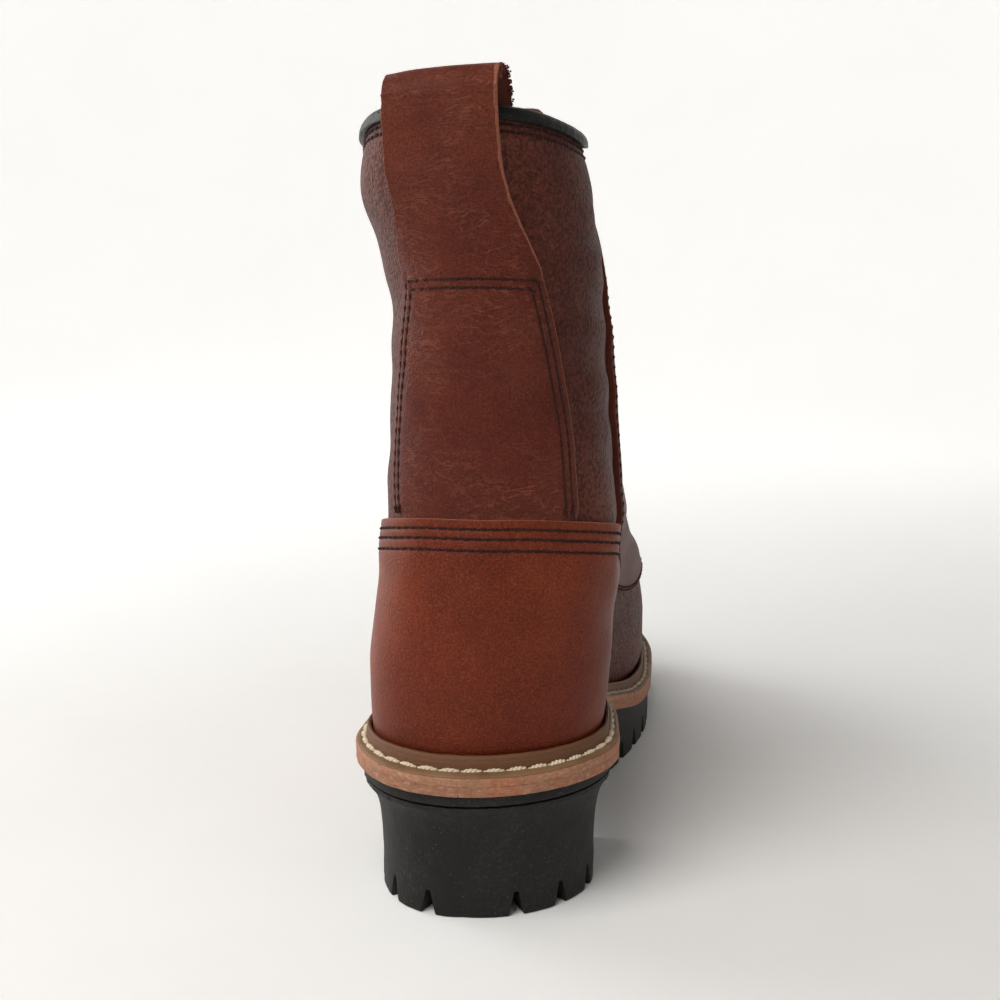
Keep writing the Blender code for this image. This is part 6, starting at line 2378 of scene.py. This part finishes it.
def natural_curve(knots: Array, values: Array, at: Array) -> Array:
    """A smooth curve through the values, with slopes from their neighbours."""
    slopes = np.gradient(values, knots)
    i = np.clip(np.searchsorted(knots, at, side="right") - 1, 0, len(knots) - 2)
    step = knots[i + 1] - knots[i]
    return cubic((at - knots[i]) / step, (values[i], values[i + 1]), (slopes[i] * step, slopes[i + 1] * step))


@dataclass
class Studio:
    """The pale floor that curves up all round and glows as painted light, the soft lights and the camera."""

    camera_place: tuple[float, float, float] = (0.051, -0.469, 0.210)
    pitch: float = 10.0
    turn: float = 5.75
    lens: float = 54.0
    flat_radius: float = 1.3
    wall_radius: float = 2.6

    def floor(self) -> bpy.types.Object:
        """The floor: a wide dish, open at its top."""
        steps = 96
        profile = [(0.0, 0.0), (0.3, 0.0), (0.7, 0.0), (self.flat_radius, 0.0)]
        bend = self.wall_radius - self.flat_radius
        for share in np.linspace(0, 1, 15)[1:]:
            angle = math.pi / 2 * share
            profile.append((self.flat_radius + bend * math.sin(angle), bend * (1 - math.cos(angle))))
        profile.append((self.wall_radius, bend + 0.5))
        bm = bmesh.new()
        rings = []
        for radius, z in profile[1:]:
            rings.append([
                bm.verts.new((radius * math.cos(2 * math.pi * k / steps), radius * math.sin(2 * math.pi * k / steps), z))
                for k in range(steps)
            ])
        middle = bm.verts.new((0, 0, 0))
        for k in range(steps):
            bm.faces.new((middle, rings[0][k], rings[0][(k + 1) % steps]))
        for low, high in zip(rings, rings[1:]):
            for k in range(steps):
                bm.faces.new((low[k], high[k], high[(k + 1) % steps], low[(k + 1) % steps]))
        mesh = emptied(bm)
        mesh.materials.append(Finish.FLOOR.material)
        mesh.shade_smooth()
        made = linked("studio_floor", mesh)
        return made

    def light(self, name: str, place: tuple[float, float, float], target: tuple[float, float, float],
              size: float, power: float, tint: Colour = (1.0, 1.0, 1.0)) -> None:
        """A soft square light at place that faces target."""
        data = bpy.data.lights.new(name, "AREA")
        data.shape = "DISK"
        data.size = size
        data.energy = power
        data.color = tint
        lamp = linked(name, data)
        lamp.location = place
        lamp.rotation_euler = (Vector(target) - Vector(place)).to_track_quat("-Z", "Y").to_euler()

    def build(self) -> None:
        """The whole studio."""
        self.floor()
        scene = bpy.context.scene
        scene.view_settings.view_transform = "Standard"
        scene.view_settings.look = "None"
        middle = (0.0, 0.05, 0.13)
        self.light("key", (-0.55, -0.85, 1.45), middle, 1.3, 22.5, (1.0, 0.985, 0.96))
        self.light("fill", (0.95, -0.6, 0.75), middle, 0.9, 0.5, (0.97, 0.985, 1.0))
        self.light("side", (-1.0, 0.45, 0.45), middle, 0.7, 5.0)
        world = bpy.data.worlds.new("studio")
        world.use_nodes = True
        background = world.node_tree.nodes["Background"]
        background.inputs["Color"].default_value = (1.0, 0.99, 0.98, 1.0)
        background.inputs["Strength"].default_value = 0.10
        scene.world = world
        data = bpy.data.cameras.new("camera")
        data.lens = self.lens
        data.sensor_width = 36.0
        data.clip_start = 0.02
        camera = linked("camera", data)
        camera.location = self.camera_place
        camera.rotation_euler = (math.radians(90 - self.pitch), 0.0, math.radians(self.turn))
        scene.camera = camera


BAND_LINE = (
    (-60, 126.4), (-31, 126.3), (-18, 123.9), (-6, 121.3), (10, 117.6), (26, 110.5), (60, 90), (92, 75),
    (122, 68), (146, 71), (160, 79), (172, 100),
)
QUARTER_REAR = ((96, 46), (112, 27), (132, 38), (156, 52), (190, 52), (243, 50))
FINE = Stitch(3.4, 2.7, 0.33, 0.2, 1.0, 6, 5, 0.44)
CHUNKY = Stitch(3.7, 3.0, 0.36, 0.2, 1.0, 6, 5, 0.46)
WELT_STITCH = Stitch(7.0, 6.7, 0.6, 0.45, 2.4, 26, 7, 0.7)


def main() -> None:
    """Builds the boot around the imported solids, then the studio."""
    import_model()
    last = Last()
    lacing = Lacing(last)
    holes = lacing.all_places()
    fine = StitchRows("panel_stitches", FINE, Finish.DARK_THREAD)
    strap_rows = StitchRows("strap_stitches", FINE, Finish.DARK_THREAD)
    counter_rows = StitchRows("counter_stitches", FINE, Finish.DARK_THREAD)
    chunky = StitchRows("collar_stitches", CHUNKY, Finish.DARK_THREAD)
    welt_rows = StitchRows("welt_stitches", WELT_STITCH, Finish.CREAM_THREAD)
    upper = Upper(last)
    upper.build(holes)
    upper.stitch(chunky)
    Counter(last, BAND_LINE).build(counter_rows)
    Quarters(last, BAND_LINE, QUARTER_REAR).build(fine, holes)
    PullStrap(last, BAND_LINE).build(strap_rows)
    CollarRoll(last).build()
    Tongue(last).build()
    Insole(last).build()
    welt = Welt(last)
    welt.build()
    welt.stitch(welt_rows)
    soles = Soles(last)
    soles.midsole()
    soles.outsole()
    soles.heel()
    lacing.eyelets()
    lacing.laces()
    for rows, slot in (
        (fine, "smooth_leather"), (strap_rows, "smooth_leather"), (counter_rows, "smooth_leather"),
        (chunky, "collar_leather"), (welt_rows, "welt"),
    ):
        rows.make(slot)
    Studio().build()


if __name__ == "__main__":
    logging.basicConfig(level=logging.INFO, format="%(message)s")
    main()
